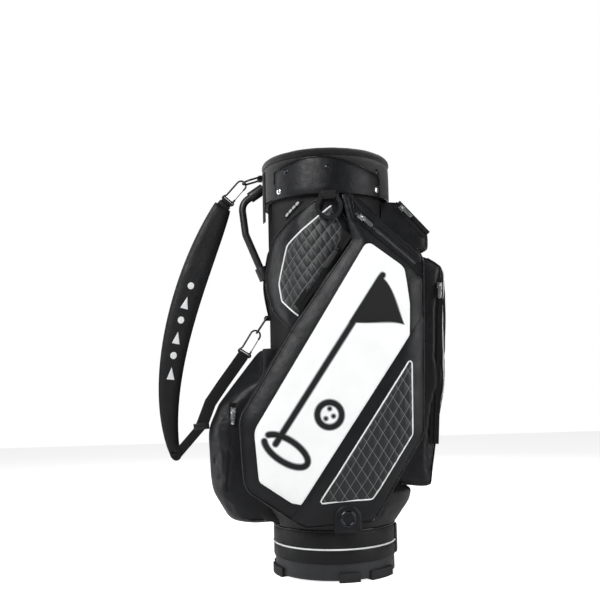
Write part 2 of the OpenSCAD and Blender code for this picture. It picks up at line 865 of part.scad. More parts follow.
// Lower foot plate and upper collar that hold the handle's ends.
module handle_brackets() {
    foot = handle_points[3];
    knee = handle_points[2];
    color(charcoal) {
        difference() {
            union() {
                upright() wire(along(foot, knee, 0.26), foot, handle_r + 4);
                translate([-trunk_r - 5, -16, foot.y - 34]) cube([10, 32, 58]);
            }
            trunk_core();
            upright() wire(knee, foot, handle_r);
        }
        difference() {
            upright() wire(handle_points[0], along(handle_points[0], handle_points[1], 0.6),
                handle_r + 4);
            handle_socket();
            cylinder(r = cuff_r, h = bag_h, $fn = 180);
        }
    }
}

// ---------------------------------------------------------------- D-rings and keepers

dring_l = 38;
upper_pin = [-cuff_r - 6, cuff_z + 64];
lower_pin = [-trunk_r - 8, 530 * rise];
upper_lean = 197;
lower_lean = 236;

function from_pin(pin, lean, d) = pin + d * [cos(lean), sin(lean)];

upper_hang = from_pin(upper_pin, upper_lean, dring_l);
lower_hang = from_pin(lower_pin, lower_lean, dring_l);

// D-ring that turns on its straight bar; local X runs away from the keeper.
module dring(pin, lean) {
    bow = dring_l - dring_r;
    translate([pin.x, 0, pin.y]) rotate([0, -lean, 0]) {
        rotate([90, 0, 0]) cylinder(r = dring_wire, h = 2 * dring_r, center = true, $fn = 32);
        for (s = [-1, 1]) translate([0, s * dring_r, 0]) {
            sphere(r = dring_wire, $fn = 32);
            rotate([0, 90, 0]) cylinder(r = dring_wire, h = bow, $fn = 32);
        }
        translate([bow, 0, 0]) rotate([0, 0, -90]) rotate_extrude(angle = 180)
            translate([dring_r, 0]) circle(r = dring_wire, $fn = 32);
    }
}

module upper_dring() color("#3a3a3a") dring(upper_pin, upper_lean);

module lower_dring() color("#3a3a3a") dring(lower_pin, lower_lean);

keeper_hw = dring_r - dring_wire - 1.5;

module dring_keeper(pin, wall_x) {
    r = dring_wire + hinge_gap;
    difference() {
        union() {
            translate([pin.x, 0, pin.y]) rotate([90, 0, 0])
                cylinder(r = r + 2.2, h = 2 * keeper_hw, center = true);
            translate([pin.x, -keeper_hw, pin.y - r - 2.2])
                cube([wall_x - pin.x, 2 * keeper_hw, 2 * r + 4.4]);
        }
        translate([pin.x, 0, pin.y]) rotate([90, 0, 0])
            cylinder(r = r, h = 4 * keeper_hw, center = true, $fn = 32);
    }
}

// Folded webbing keepers on the cuff and on the trunk.
module dring_keepers() {
    color(black) {
        difference() {
            dring_keeper(upper_pin, -cuff_r + 8);
            cylinder(r = cuff_r, h = bag_h, $fn = 180);
        }
        difference() {
            dring_keeper(lower_pin, -trunk_r + 8);
            trunk_core();
        }
    }
}

// ---------------------------------------------------------------- snap hooks

upper_dir = 229;
lower_dir = 238;
hook_seat = hook_r - hook_wire - dring_wire - 0.4;

// Centre of each hook's bend, its bend round the D-ring's bow.
upper_bend = from_pin(upper_hang, upper_dir, hook_seat);
lower_bend = from_pin(lower_hang, lower_dir, hook_seat);

// Local frame of a hook: +X from the bend towards the strap, +Y its gate side.
module hook_frame(bend, dir) {
    translate([bend.x, 0, bend.y]) rotate([90, 0, 0]) rotate([0, 0, dir]) children();
}

tip_l = 5;
gate_pin_r = 1;
cross_at = hook_l + 5.5;
bar_at = hook_l + 12;
bar_hw = web_w / 2 + 1.5;

// The hook's wire: tip, round bend, shank and the flat loop for the webbing.
bend_r = hook_r - 0.05;
loop_bend = 2.5;
hook_run = [[tip_l, hook_r, 0], [-hook_r, hook_r, bend_r], [-hook_r, -hook_r, bend_r],
    [hook_l, -hook_r, loop_bend], [bar_at - 5, -bar_hw, loop_bend], [bar_at, -bar_hw, loop_bend],
    [bar_at, bar_hw, loop_bend], [cross_at, bar_hw, loop_bend], [cross_at, hook_r - 4, 0]];

// Bent wire hook with the cheeks and the pin of its gate.
module snap_hook() {
    swept_tube(hook_run, hook_wire, 12, 5);
    wire([cross_at, hook_r - 3], [cross_at, -hook_r - 2], hook_wire - 0.4);
    for (s = [-1, 1]) translate([hook_l - 2, hook_r - 2, s * 2.2 - 0.8]) cube([9, 4, 1.6]);
    translate([hook_l, hook_r, 0]) cylinder(r = gate_pin_r, h = 5, center = true, $fn = 24);
}

// Sprung gate that closes the hook, turning on the pin.
module hook_gate() {
    bore = gate_pin_r + 0.25;
    difference() {
        union() {
            translate([hook_l, hook_r, 0]) cylinder(r = bore + 0.9, h = 2.4, center = true, $fn = 32);
            translate([tip_l + 0.6, hook_r, 0]) rotate([0, 90, 0])
                cylinder(r = 1, h = hook_l - tip_l - 2, $fn = 24);
        }
        translate([hook_l, hook_r, 0]) cylinder(r = bore, h = 10, center = true, $fn = 24);
    }
}

module upper_hook() color("#333333") hook_frame(upper_bend, upper_dir) snap_hook();

module lower_hook() color("#333333") hook_frame(lower_bend, lower_dir) snap_hook();

module upper_hook_gate() color("silver") hook_frame(upper_bend, upper_dir) hook_gate();

module lower_hook_gate() color("silver") hook_frame(lower_bend, lower_dir) hook_gate();

// ---------------------------------------------------------------- strap

// One edge of a strip along a run of points, at a distance d to its left, with mitred turns.
function strip_edge(p, d) = let (last = len(p) - 1)
    [for (i = [0 : last]) let (j = max(i, 1), k = min(i, last - 1),
        into = unit(p[j] - p[j - 1]), out = unit(p[k + 1] - p[k]), u = unit(into + out))
        p[i] + d / (u * into) * [-u.y, u.x]];

function backwards(p) = [for (i = [len(p) - 1 : -1 : 0]) p[i]];

// Outline of a strip w wide along a run of points, drawn in X and Z.
module strip_plan(points, w) {
    polygon(concat(strip_edge(points, w / 2), backwards(strip_edge(points, -w / 2))));
}

module strip(points, w, t) {
    across(-t / 2, t / 2) strip_plan(points, w);
}

// Folded sleeve of webbing round a hook's flat loop, open along the bar.
module sleeve(w = web_w - 1) {
    r = hook_wire + 0.3;
    difference() {
        translate([bar_at, 0, 0]) rotate([90, 0, 0]) cylinder(r = r + 1.8, h = w, center = true);
        translate([bar_at, 0, 0]) rotate([90, 0, 0]) cylinder(r = r, h = 2 * w, center = true);
    }
}

upper_bar = from_pin(upper_bend, upper_dir, bar_at + hook_wire + 1);
lower_bar = from_pin(lower_bend, lower_dir, bar_at + hook_wire + 1);

pad_top = from_pin(upper_bend, upper_dir, bar_at + 16);
// Control points of the pad's two edges, measured outwards from the spine pocket's back.
pad_left = [pad_top + [-14, 10], [spine_x - 75, 640 * rise], [spine_x - 140, 400 * rise],
    [spine_x - 83, 250 * rise]];
pad_right = [pad_top + [16, -8], [spine_x + 17, 650 * rise], [spine_x - 85, 440 * rise],
    [spine_x - 65, 260 * rise]];
pad_steps = 24;

module pad_outline() {
    polygon(concat([for (i = [0 : pad_steps]) bezier(pad_left, i / pad_steps)],
        [for (i = [pad_steps : -1 : 0]) bezier(pad_right, i / pad_steps)]));
}

// Shoulder pad: a long crescent that tapers to both ends.
module strap_pad() {
    color(leather) across(-pad_t / 2, pad_t / 2) pad_outline();
}

pad_foot = (pad_left[3] + pad_right[3]) / 2;
foot_dir = atan2(pad_left[3].y - pad_left[2].y, pad_left[3].x - pad_left[2].x);
// The buckle hangs clear of the spine pocket, however wide the webbing is.
adjuster_hw = web_w / 2 + 4;
adjuster_at = [spine_x - adjuster_hw - 0.5, 303 * rise];
loop_turn = from_pin(pad_foot, foot_dir, 12);
web_run = [adjuster_at, [adjuster_at.x + 19, 352 * rise], [adjuster_at.x + 44, 388 * rise], lower_bar];

module sleeve_core(bend, dir, r) {
    hook_frame(bend, dir) translate([bar_at, 0, 0]) rotate([90, 0, 0])
        cylinder(r = r, h = 2 * web_w, center = true);
}

cap_t = 8;

// Stitched leather caps over the two ends of the pad.
module strap_ends() {
    color(black) {
        difference() {
            strip([from_pin(upper_bend, upper_dir, bar_at + 6), pad_top], web_w + 3, cap_t);
            across(-cap_t, cap_t) pad_outline();
            sleeve_core(upper_bend, upper_dir, hook_wire + 2.4);
            strip([upper_bar, pad_top], web_w, web_t);
        }
        difference() {
            strip([pad_foot, loop_turn], web_w - 2, cap_t);
            across(-cap_t, cap_t) pad_outline();
            across(-web_t / 2, web_t / 2) lower_loop_plan();
        }
    }
}

// Webbing from the upper hook into the pad.
module upper_webbing() {
    color("#18181a") difference() {
        union() {
            hook_frame(upper_bend, upper_dir) sleeve();
            across(-web_t / 2, web_t / 2) difference() {
                strip_plan([upper_bar, pad_top], web_w);
                pad_outline();
            }
        }
        sleeve_core(upper_bend, upper_dir, hook_wire + 0.3);
    }
}

module lower_loop_plan() {
    strip_plan([from_pin(pad_foot, foot_dir, 2), loop_turn], web_w - 6);
    strip_plan([loop_turn, adjuster_at], web_w - 6);
    translate(loop_turn) circle(r = web_w / 2 - 2);
}

// Webbing from the pad, through the adjuster, to the lower hook.
module lower_webbing() {
    color("#18181a") difference() {
        union() {
            hook_frame(lower_bend, lower_dir) sleeve();
            across(-web_t / 2, web_t / 2) difference() {
                union() {
                    strip_plan(web_run, web_w);
                    lower_loop_plan();
                }
                pad_outline();
            }
        }
        sleeve_core(lower_bend, lower_dir, hook_wire + 0.3);
    }
}

adjuster_turn = 6;
adjuster_l = 14;
adjuster_t = 6;

// Ladder-lock buckle that the webbing is threaded through.
module strap_adjuster() {
    color("#1f1f21") difference() {
        translate([adjuster_at.x, 0, adjuster_at.y]) rotate([0, -adjuster_turn, 0])
            translate([-adjuster_hw, -adjuster_t / 2, -adjuster_l / 2])
                cube([2 * adjuster_hw, adjuster_t, adjuster_l]);
        across(-web_t / 2, web_t / 2) {
            strip_plan(web_run, web_w);
            lower_loop_plan();
        }
    }
}

base_cup();
base_feet();
base_collar();
collar_piping();
lower_skirt();
trunk_shell();
trunk_stays();
top_ring();
cuff_band();
rim_pad();
divider_bars();
divider_sheets();
right_pocket();
left_pocket();
right_leaf_pocket();
left_leaf_pocket();
ball_pocket();
front_pocket();
spine_pocket();
side_zip_tracks();
leaf_zip_tracks();
ball_zip_track();
front_zip_track();
spine_zip_track();
ring_keeper();
eyelet_tab();
eyelet_grommet();
label_tag();
glove_tab();
handle_tube();
handle_brackets();
dring_keepers();
cuff_rivets();
snap_studs();
towel_ring();
upper_dring();
lower_dring();
strap_pad();
strap_ends();
upper_webbing();
lower_webbing();
strap_adjuster();
upper_hook();
lower_hook();
upper_hook_gate();
lower_hook_gate();
right_zip_slider();
right_zip_puller();
left_zip_slider();
left_zip_puller();
right_leaf_slider();
right_leaf_puller();
left_leaf_slider();
left_leaf_puller();
ball_zip_slider();
ball_zip_puller();
front_zip_slider();
front_zip_puller();
spine_zip_slider();
spine_zip_puller();
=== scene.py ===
import json
import math

import bmesh
import bpy
import numpy as np
from mathutils import Matrix, Vector, noise
from mathutils.bvhtree import BVHTree


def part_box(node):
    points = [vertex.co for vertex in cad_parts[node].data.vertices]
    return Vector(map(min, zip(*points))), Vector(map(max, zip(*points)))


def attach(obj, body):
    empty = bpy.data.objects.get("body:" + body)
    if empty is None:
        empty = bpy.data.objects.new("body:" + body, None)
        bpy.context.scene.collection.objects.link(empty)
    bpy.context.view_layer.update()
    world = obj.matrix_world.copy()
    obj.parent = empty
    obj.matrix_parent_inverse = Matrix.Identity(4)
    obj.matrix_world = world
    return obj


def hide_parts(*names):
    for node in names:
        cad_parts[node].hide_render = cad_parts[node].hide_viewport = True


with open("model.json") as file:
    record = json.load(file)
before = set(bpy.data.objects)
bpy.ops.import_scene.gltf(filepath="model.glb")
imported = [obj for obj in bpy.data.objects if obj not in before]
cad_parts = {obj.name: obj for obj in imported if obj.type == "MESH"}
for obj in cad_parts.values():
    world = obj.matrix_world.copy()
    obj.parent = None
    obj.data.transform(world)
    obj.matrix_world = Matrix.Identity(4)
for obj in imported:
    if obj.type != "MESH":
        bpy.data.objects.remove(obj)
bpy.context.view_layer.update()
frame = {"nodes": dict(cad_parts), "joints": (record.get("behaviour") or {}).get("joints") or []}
scene = bpy.context.scene
scene.view_settings.view_transform = "Standard"
joints = {j["name"]: j for j in frame["joints"]}

MM = 0.001
RIGHT, LEFT = -1, 1          # the sign of y on the two sides of the bag

# ------------------------------------------------------------------ sizes read from the frame

CUFF_LOW, CUFF_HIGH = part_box("cuff_band")
CUFF_R = CUFF_HIGH.x
CUFF_Z, CUFF_TOP = CUFF_LOW.z, CUFF_HIGH.z
RIM_LOW, RIM_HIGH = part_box("rim_pad")
TRUNK_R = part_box("trunk_shell")[1].x
COLLAR_LOW, COLLAR_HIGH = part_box("base_collar")
COLLAR_R = COLLAR_HIGH.x
SEAM_Y = -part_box("eyelet_tab")[0].y - 3 * MM
LEAF_R = TRUNK_R + 15 * MM

# ------------------------------------------------------------------ camera

CAMERA_AWAY = 1.715
CAMERA_HEIGHT = 0.3836
CAMERA_AZIMUTH, CAMERA_PAN, CAMERA_PITCH, CAMERA_ROLL = (
    math.radians(a) for a in (-8.0, -2.06, 6.2, -1.27))
CAMERA_LENS = 47.36


def turned(a, b, angle):
    return a * math.cos(angle) + b * math.sin(angle)


def set_camera():
    up = Vector((0, 0, 1))
    right = Vector((math.cos(CAMERA_AZIMUTH), math.sin(CAMERA_AZIMUTH), 0))
    ahead = Vector((-math.sin(CAMERA_AZIMUTH), math.cos(CAMERA_AZIMUTH), 0))
    ahead, right = turned(ahead, right, CAMERA_PAN), turned(right, -ahead, CAMERA_PAN)
    ahead, up = turned(ahead, up, CAMERA_PITCH), turned(up, -ahead, CAMERA_PITCH)
    right, up = turned(right, up, CAMERA_ROLL), turned(up, -right, CAMERA_ROLL)
    camera = bpy.data.objects.new("camera", bpy.data.cameras.new("camera"))
    camera.data.lens = CAMERA_LENS
    place = Matrix((right, up, -ahead)).transposed().to_4x4()
    place.translation = (CAMERA_AWAY * math.sin(CAMERA_AZIMUTH),
                         -CAMERA_AWAY * math.cos(CAMERA_AZIMUTH), CAMERA_HEIGHT)
    camera.matrix_world = place
    scene.collection.objects.link(camera)
    scene.camera = camera


set_camera()

# ------------------------------------------------------------------ materials


def linear(code):
    """The linear colour of an sRGB hex value."""
    parts = [int(code[i:i + 2], 16) / 255 for i in (1, 3, 5)]
    return [c / 12.92 if c <= 0.04045 else ((c + 0.055) / 1.055) ** 2.4 for c in parts] + [1]


def add(tree, kind, *links, **settings):
    """Adds a node. Settings name a property or an input; a link is (input, node, output)."""
    node = tree.nodes.new(kind)
    for name, value in settings.items():
        if hasattr(node, name):
            setattr(node, name, value)
        else:
            node.inputs[name.replace("_", " ")].default_value = value
    for socket, source, output in links:
        tree.links.new(source.outputs[output], node.inputs[socket])
    return node


def finish(name, colour, **shader):
    """A material with its main shader, ready for a pattern."""
    material = bpy.data.materials.new(name)
    material.use_nodes = True
    tree = material.node_tree
    main = tree.nodes["Principled BSDF"]
    main.inputs["Base Color"].default_value = linear(colour)
    for key, value in shader.items():
        main.inputs[key.replace("_", " ")].default_value = value
    return material, tree, main


def place_of(tree):
    return add(tree, "ShaderNodeTexCoord"), "Object"


def per_mm(size):
    """The texture scale whose cells are this many millimetres."""
    return 1 / (size * MM)


def vary(tree, main, socket, at, size, low, high, detail=3.0):
    """Lets a colour or a number drift between two values over the surface."""
    cloud = add(tree, "ShaderNodeTexNoise", ("Vector", *at), Scale=per_mm(size), Detail=detail)
    if isinstance(low, str):
        ramp = add(tree, "ShaderNodeValToRGB", ("Fac", cloud, "Fac"))
        ramp.color_ramp.elements[0].position, ramp.color_ramp.elements[1].position = 0.32, 0.68
        ramp.color_ramp.elements[0].color, ramp.color_ramp.elements[1].color = linear(low), linear(high)
        tree.links.new(ramp.outputs["Color"], main.inputs[socket])
    else:
        spread = add(tree, "ShaderNodeMapRange", ("Value", cloud, "Fac"),
                     From_Min=0.3, From_Max=0.7, To_Min=low, To_Max=high)
        tree.links.new(spread.outputs["Result"], main.inputs[socket])


def bump(tree, main, height, output, deep, strength=1.0, under=None):
    """Adds relief to a shader, with its depth in millimetres."""
    links = [("Height", height, output)]
    if under:
        links.append(("Normal", under, "Normal"))
    node = add(tree, "ShaderNodeBump", *links, Strength=strength, Distance=deep * MM)
    tree.links.new(node.outputs["Normal"], main.inputs["Normal"])
    return node


def grained_leather(name, colour, worn, roughness=(0.38, 0.52), grain=2.2, deep=0.16):
    # Polyurethane leather, embossed by a roller: small pebbles, soft broad highlights.
    # The real pebbles are about 1 mm; they are drawn twice as coarse so that they show.
    material, tree, main = finish(name, colour, Specular_IOR_Level=0.3)
    at = place_of(tree)
    pebbles = add(tree, "ShaderNodeTexVoronoi", ("Vector", *at), feature="SMOOTH_F1",
                  Scale=per_mm(grain), Smoothness=0.6)
    creases = add(tree, "ShaderNodeTexNoise", ("Vector", *at), Scale=per_mm(14), Detail=4.0)
    vary(tree, main, "Base Color", at, 60, colour, worn)
    vary(tree, main, "Roughness", at, 25, *roughness)
    first = bump(tree, main, pebbles, "Distance", deep)
    bump(tree, main, creases, "Fac", 0.9, under=first)
    return material


WAVE_TURN = 6.2832           # one turn of a wave texture, in radians


def woven(name, dark, light, thread, deep, roughness=0.8, sheen=0.0, turn=0.0):
    # Plain-woven polyester: two sets of threads, matt, with a painted highlight on the crowns of the threads
    # and painted shade between them.
    material, tree, main = finish(name, light, Roughness=roughness, Sheen_Weight=sheen,
                                  Specular_IOR_Level=0.3)
    at = place_of(tree)
    turned_at = add(tree, "ShaderNodeMapping", ("Vector", *at))
    turned_at.inputs["Rotation"].default_value = (turn, turn, turn)
    waves = [add(tree, "ShaderNodeTexWave", ("Vector", turned_at, "Vector"), bands_direction=axis,
                 Scale=per_mm(thread) / WAVE_TURN * 2, Distortion=0.6) for axis in ("X", "Z")]
    cloth = add(tree, "ShaderNodeMix", ("A", waves[0], "Fac"), ("B", waves[1], "Fac"), Factor=0.5)
    # The ramp runs from dark, the painted shade between the threads, to light, the painted highlight on their
    # crowns.
    ramp = add(tree, "ShaderNodeValToRGB", ("Fac", cloth, "Result"))
    ramp.color_ramp.elements[0].color, ramp.color_ramp.elements[1].color = linear(dark), linear(light)
    tree.links.new(ramp.outputs["Color"], main.inputs["Base Color"])
    bump(tree, main, cloth, "Result", deep)
    return material


def moulded(name, colour, light, roughness=(0.42, 0.56), grit=0.9, deep=0.08):
    # Injection-moulded ABS with a spark-eroded grain: even, dull, with soft scuffs.
    material, tree, main = finish(name, colour, IOR=1.5)
    at = place_of(tree)
    grain = add(tree, "ShaderNodeTexNoise", ("Vector", *at), Scale=per_mm(grit), Detail=2.0)
    vary(tree, main, "Base Color", at, 45, colour, light)
    vary(tree, main, "Roughness", at, 18, *roughness)
    bump(tree, main, grain, "Fac", deep)
    return material


def metal(name, colour, roughness=(0.16, 0.3), scratch=6.0):
    # Plated wire and sheet, barrel-polished: mirror-like with faint rubbed patches.
    material, tree, main = finish(name, colour, Metallic=1.0)
    at = place_of(tree)
    vary(tree, main, "Roughness", at, scratch, *roughness)
    marks = add(tree, "ShaderNodeTexNoise", ("Vector", *at), Scale=per_mm(1.5), Detail=3.0)
    bump(tree, main, marks, "Fac", 0.02)
    return material


def velour(name, colour, light):
    # Brushed knitted pile: no shine, a soft light edge, and patches where the pile leans.
    material, tree, main = finish(name, colour, Roughness=0.95, Sheen_Weight=0.45,
                                  Sheen_Roughness=0.5, Specular_IOR_Level=0.2)
    at = place_of(tree)
    pile = add(tree, "ShaderNodeTexNoise", ("Vector", *at), Scale=per_mm(1.1), Detail=3.0)
    vary(tree, main, "Base Color", at, 16, colour, light)
    bump(tree, main, pile, "Fac", 0.6)
    return material


def quilted(name, colour, light, thread, wide, tall, slant):
    # Quilted leather: diamonds between rows of fine light thread, sewn through to foam.
    material, tree, main = finish(name, colour, Roughness=0.5)
    at = add(tree, "ShaderNodeUVMap", uv_map="flat"), "UV"
    split = add(tree, "ShaderNodeSeparateXYZ", ("Vector", *at))
    lines = []
    for sign in (1, -1):
        across = add(tree, "ShaderNodeMath", ("Value", split, "X"), operation="MULTIPLY")
        across.inputs[1].default_value = (sign + slant) / (wide * MM)
        along = add(tree, "ShaderNodeMath", ("Value", split, "Y"), operation="MULTIPLY")
        along.inputs[1].default_value = 1 / (tall * MM)
        total = add(tree, "ShaderNodeMath", (0, across, "Value"), (1, along, "Value"), operation="ADD")
        wave = add(tree, "ShaderNodeMath", ("Value", total, "Value"), operation="PINGPONG")
        wave.inputs[1].default_value = 0.5
        lines.append(wave)
    nearest = add(tree, "ShaderNodeMath", (0, lines[0], "Value"), (1, lines[1], "Value"),
                  operation="MINIMUM")
    dash = add(tree, "ShaderNodeTexNoise", ("Vector", *at), Scale=per_mm(1.6), Detail=1.0)
    wobble = add(tree, "ShaderNodeMath", (0, dash, "Fac"), operation="MULTIPLY_ADD")
    wobble.inputs[1].default_value, wobble.inputs[2].default_value = 0.03, 0.006
    sewn = add(tree, "ShaderNodeMath", (0, nearest, "Value"), (1, wobble, "Value"),
               operation="LESS_THAN")
    ramp = add(tree, "ShaderNodeMix", ("Factor", sewn, "Value"), data_type="RGBA")
    ramp.inputs["A"].default_value, ramp.inputs["B"].default_value = linear(colour), linear(thread)
    tree.links.new(ramp.outputs["Result"], main.inputs["Base Color"])
    grain = add(tree, "ShaderNodeTexVoronoi", ("Vector", *place_of(tree)), feature="SMOOTH_F1",
                Scale=per_mm(1.8))
    bump(tree, main, grain, "Distance", 0.1)
    return material


BLACK_LEATHER = grained_leather("black_leather", "#090a0d", "#101116")
SOFT_LEATHER = grained_leather("soft_black_leather", "#08080a", "#0e0f12", (0.42, 0.56))
PATENT_PIPING = grained_leather("glossy_black_piping", "#0b0b0d", "#151517", (0.2, 0.3), 1.2, 0.04)
WHITE_LEATHER = grained_leather("white_leather", "#f2f3f3", "#f7f8f8", (0.42, 0.52), 2.0, 0.08)
WHITE_PIPING = grained_leather("white_piping", "#e6e7e7", "#f2f3f3", (0.35, 0.45), 1.2, 0.03)
VELOUR = velour("black_velour", "#060607", "#0d0d0f")
TRUNK_CLOTH = woven("coated_trunk_cloth", "#080809", "#121214", 1.4, 0.2, 0.6)
DIVIDER_CLOTH = woven("divider_cloth", "#0e0e11", "#1c1c20", 1.6, 0.2)
WEBBING = woven("black_webbing", "#060607", "#151518", 1.6, 0.35, 0.75, 0.1, turn=0.35)
ZIP_TAPE = woven("zip_tape", "#060607", "#141416", 1.2, 0.2, 0.8, 0.05)
SILVER_TAG = woven("silver_woven_tag", "#85888c", "#c4c6c8", 1.0, 0.2, 0.45)
CHARCOAL = moulded("charcoal_abs", "#1a1b1e", "#222327")
BLACK_PLASTIC = moulded("black_acetal", "#0d0d0f", "#171719", (0.32, 0.45))
GREY_PLASTIC = moulded("dark_acetal", "#161719", "#202124", (0.3, 0.42))
FOOT_RUBBER = moulded("foot_rubber", "#111113", "#1b1b1e", (0.65, 0.8), 1.4, 0.2)
PULL_RUBBER = moulded("puller_rubber", "#0d0d0f", "#18181a", (0.5, 0.62), 1.2, 0.1)
HANDLE_COAT = moulded("handle_rubber_coat", "#111113", "#1a1a1d", (0.38, 0.5), 1.4, 0.06)
COIL_SILVER = metal("silver_zip_coil", "#b9bcc0", (0.28, 0.4))
COIL_BLACK = moulded("black_zip_coil", "#0a0a0c", "#161618", (0.35, 0.5), 0.8, 0.05)
NICKEL = metal("nickel_plate", "#d9dbdd")
CHROME = metal("chrome_dome", "#eef0f1", (0.06, 0.14))
BLACK_METAL = metal("black_nickel", "#3a3c40", (0.2, 0.34))
ROD_METAL = metal("stay_rod", "#9fa2a6", (0.3, 0.45))
DARK_THREAD = woven("dark_thread", "#050506", "#161618", 0.8, 0.1, 0.6)
EMBROIDERY = woven("black_embroidery", "#040405", "#0e0e11", 1.1, 0.3, 0.5, turn=0.6)
SHADOW_EMBROIDERY = woven("grey_embroidery", "#85888c", "#b3b6b9", 1.1, 0.2, 0.6)
WHITE_EMBROIDERY = woven("white_embroidery", "#c9cbcd", "#f1f2f2", 1.1, 0.25, 0.5)
LOW_QUILT = quilted("upright_quilt", "#141517", "#1d1e21", "#74777b", 22, 34, 0.0)
LEAF_QUILT = quilted("slanted_quilt", "#131416", "#1b1c1f", "#686b6f", 20, 30, 0.18)

# ------------------------------------------------------------------ drawing helpers


def corner_arc(a, b, c, radius, steps):
    """Points of the arc that rounds the corner b between a and c."""
    a, b, c = Vector(a), Vector(b), Vector(c)
    u, v = (a - b).normalized(), (c - b).normalized()
    half = u.angle(v) / 2
    if radius <= 0 or half > math.radians(89.5):
        return [tuple(b)]
    cut = min(radius / math.tan(half), 0.49 * min((a - b).length, (c - b).length))
    radius = cut * math.tan(half)
    centre = b + (u + v).normalized() * radius / math.sin(half)
    p, q = b + u * cut - centre, b + v * cut - centre
    start, sweep = math.atan2(p.y, p.x), p.angle_signed(q)
    return [tuple(centre + radius * Vector((math.cos(start - sweep * i / steps),
                                            math.sin(start - sweep * i / steps))))
            for i in range(steps + 1)]


def rounded(corners, steps=6):
    """A closed outline in mm from corners (a, b, radius)."""
    count = len(corners)
    outline = []
    for i, (a, b, radius) in enumerate(corners):
        outline += corner_arc(corners[i - 1][:2], (a, b), corners[(i + 1) % count][:2], radius, steps)
    return outline


def spaced(points, step, closed=False):
    """The same line with points at an even step."""
    points = [Vector(p) for p in points]
    if closed:
        points.append(points[0])
    lengths = np.cumsum([0] + [(q - p).length for p, q in zip(points, points[1:])])
    count = max(2, int(round(lengths[-1] / step)))
    rows = np.array([tuple(p) for p in points])
    at = np.linspace(0, lengths[-1], count + 1)
    line = np.stack([np.interp(at, lengths, rows[:, k]) for k in range(rows.shape[1])], 1)
    return [Vector(p) for p in (line[:-1] if closed else line)]


def depth_inside(outline, points):
    """How far each point lies inside an outline, smooth where two edges are equally near."""
    ring = np.array([tuple(p) for p in spaced(outline, 4, True)])
    nxt = np.roll(ring, -1, 0)
    points = np.asarray(points)
    a, ab = ring[None], (nxt - ring)[None]
    t = np.clip(((points[:, None] - a) * ab).sum(2) / (ab ** 2).sum(2), 0, 1)
    gap = np.linalg.norm(points[:, None] - a - t[..., None] * ab, axis=2)
    nearest = gap.min(1)
    weight = np.linalg.norm(nxt - ring, axis=1)[None]
    smooth = (math.pi / 2 / (weight / np.maximum(gap, 0.5) ** 4).sum(1)) ** (1 / 3)
    return np.minimum(nearest, smooth * 1.15)


def swell(depth, width, height):
    """Height of a padded face at a depth inside its edge."""
    t = np.clip(np.asarray(depth) / width, 0, 1)
    return height * (1 - (1 - t) ** 2.4)


def new_piece(name, mesh, material, body="bag", stands_for=(), smooth=40):
    piece = bpy.data.objects.new(name, mesh)
    scene.collection.objects.link(piece)
    mesh.materials.clear()
    mesh.materials.append(material)
    if smooth:
        mesh.shade_smooth()
        mesh.set_sharp_from_angle(angle=math.radians(smooth))
    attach(piece, body)
    if stands_for:
        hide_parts(*stands_for)
    return piece


def made(name, bm, material, body="bag", stands_for=(), smooth=40, recalc=True):
    if recalc:
        bmesh.ops.recalc_face_normals(bm, faces=bm.faces)
    mesh = bpy.data.meshes.new(name)
    bm.to_mesh(mesh)
    bm.free()
    return new_piece(name, mesh, material, body, stands_for, smooth)


def flat_panel(outline, cell):
    """A flat face in (a, b) mm, cut into a grid, with its own flat UV map."""
    bm = bmesh.new()
    bm.faces.new([bm.verts.new((a, b, 0)) for a, b in outline])
    low = [min(p[k] for p in outline) for k in (0, 1)]
    high = [max(p[k] for p in outline) for k in (0, 1)]
    for k in (0, 1):
        normal = [0, 0, 0]
        normal[k] = 1
        for i in range(1, int((high[k] - low[k]) / cell) + 1):
            at = [0, 0, 0]
            at[k] = low[k] + i * cell + 0.01
            bmesh.ops.bisect_plane(bm, geom=bm.verts[:] + bm.edges[:] + bm.faces[:], dist=0.001,
                                   plane_co=at, plane_no=normal)
    uv = bm.loops.layers.uv.new("flat")
    for face in bm.faces:
        for loop in face.loops:
            loop[uv].uv = (loop.vert.co.x * MM, loop.vert.co.y * MM)
    return bm


def laid(name, outline, surface, material, lift=0.0, thick=1.2, cell=5, relief=None, body="bag",
         stands_for=(), sunk=1.5, smooth=50):
    """A sewn-on panel: an outline in mm laid on a surface, with its thickness and a soft edge."""
    bm = flat_panel(outline, cell)
    layers = [bm.verts.layers.float.new(axis) for axis in "ab"]
    bm.verts.ensure_lookup_table()
    flat = np.array([(v.co.x, v.co.y) for v in bm.verts])
    depth = depth_inside(outline, flat)
    height = lift + thick * (1 - 0.5 * (1 - np.clip(depth / (1.5 * thick), 0, 1)) ** 2)
    if relief is not None:
        height = height + relief(flat, depth)
    for vert, place, spot in zip(bm.verts, surface(flat, height), flat):
        vert.co = place
        vert[layers[0]], vert[layers[1]] = spot
    rim = [e for e in bm.edges if e.is_boundary]
    lower = [v for v in bmesh.ops.extrude_edge_only(bm, edges=rim)["geom"]
             if isinstance(v, bmesh.types.BMVert)]
    flat = np.array([(v[layers[0]], v[layers[1]]) for v in lower])
    for vert, place in zip(lower, surface(flat, np.full(len(lower), lift - sunk))):
        vert.co = place
    bmesh.ops.holes_fill(bm, edges=[e for e in bm.edges if e.is_boundary])
    return made(name, bm, material, body, stands_for, smooth)


def on(surface, line, height=0.0):
    """Points of a line in flat mm, taken onto a surface."""
    return [Vector(p) for p in surface(np.array([tuple(p)[:2] for p in line]), np.full(len(line), height))]


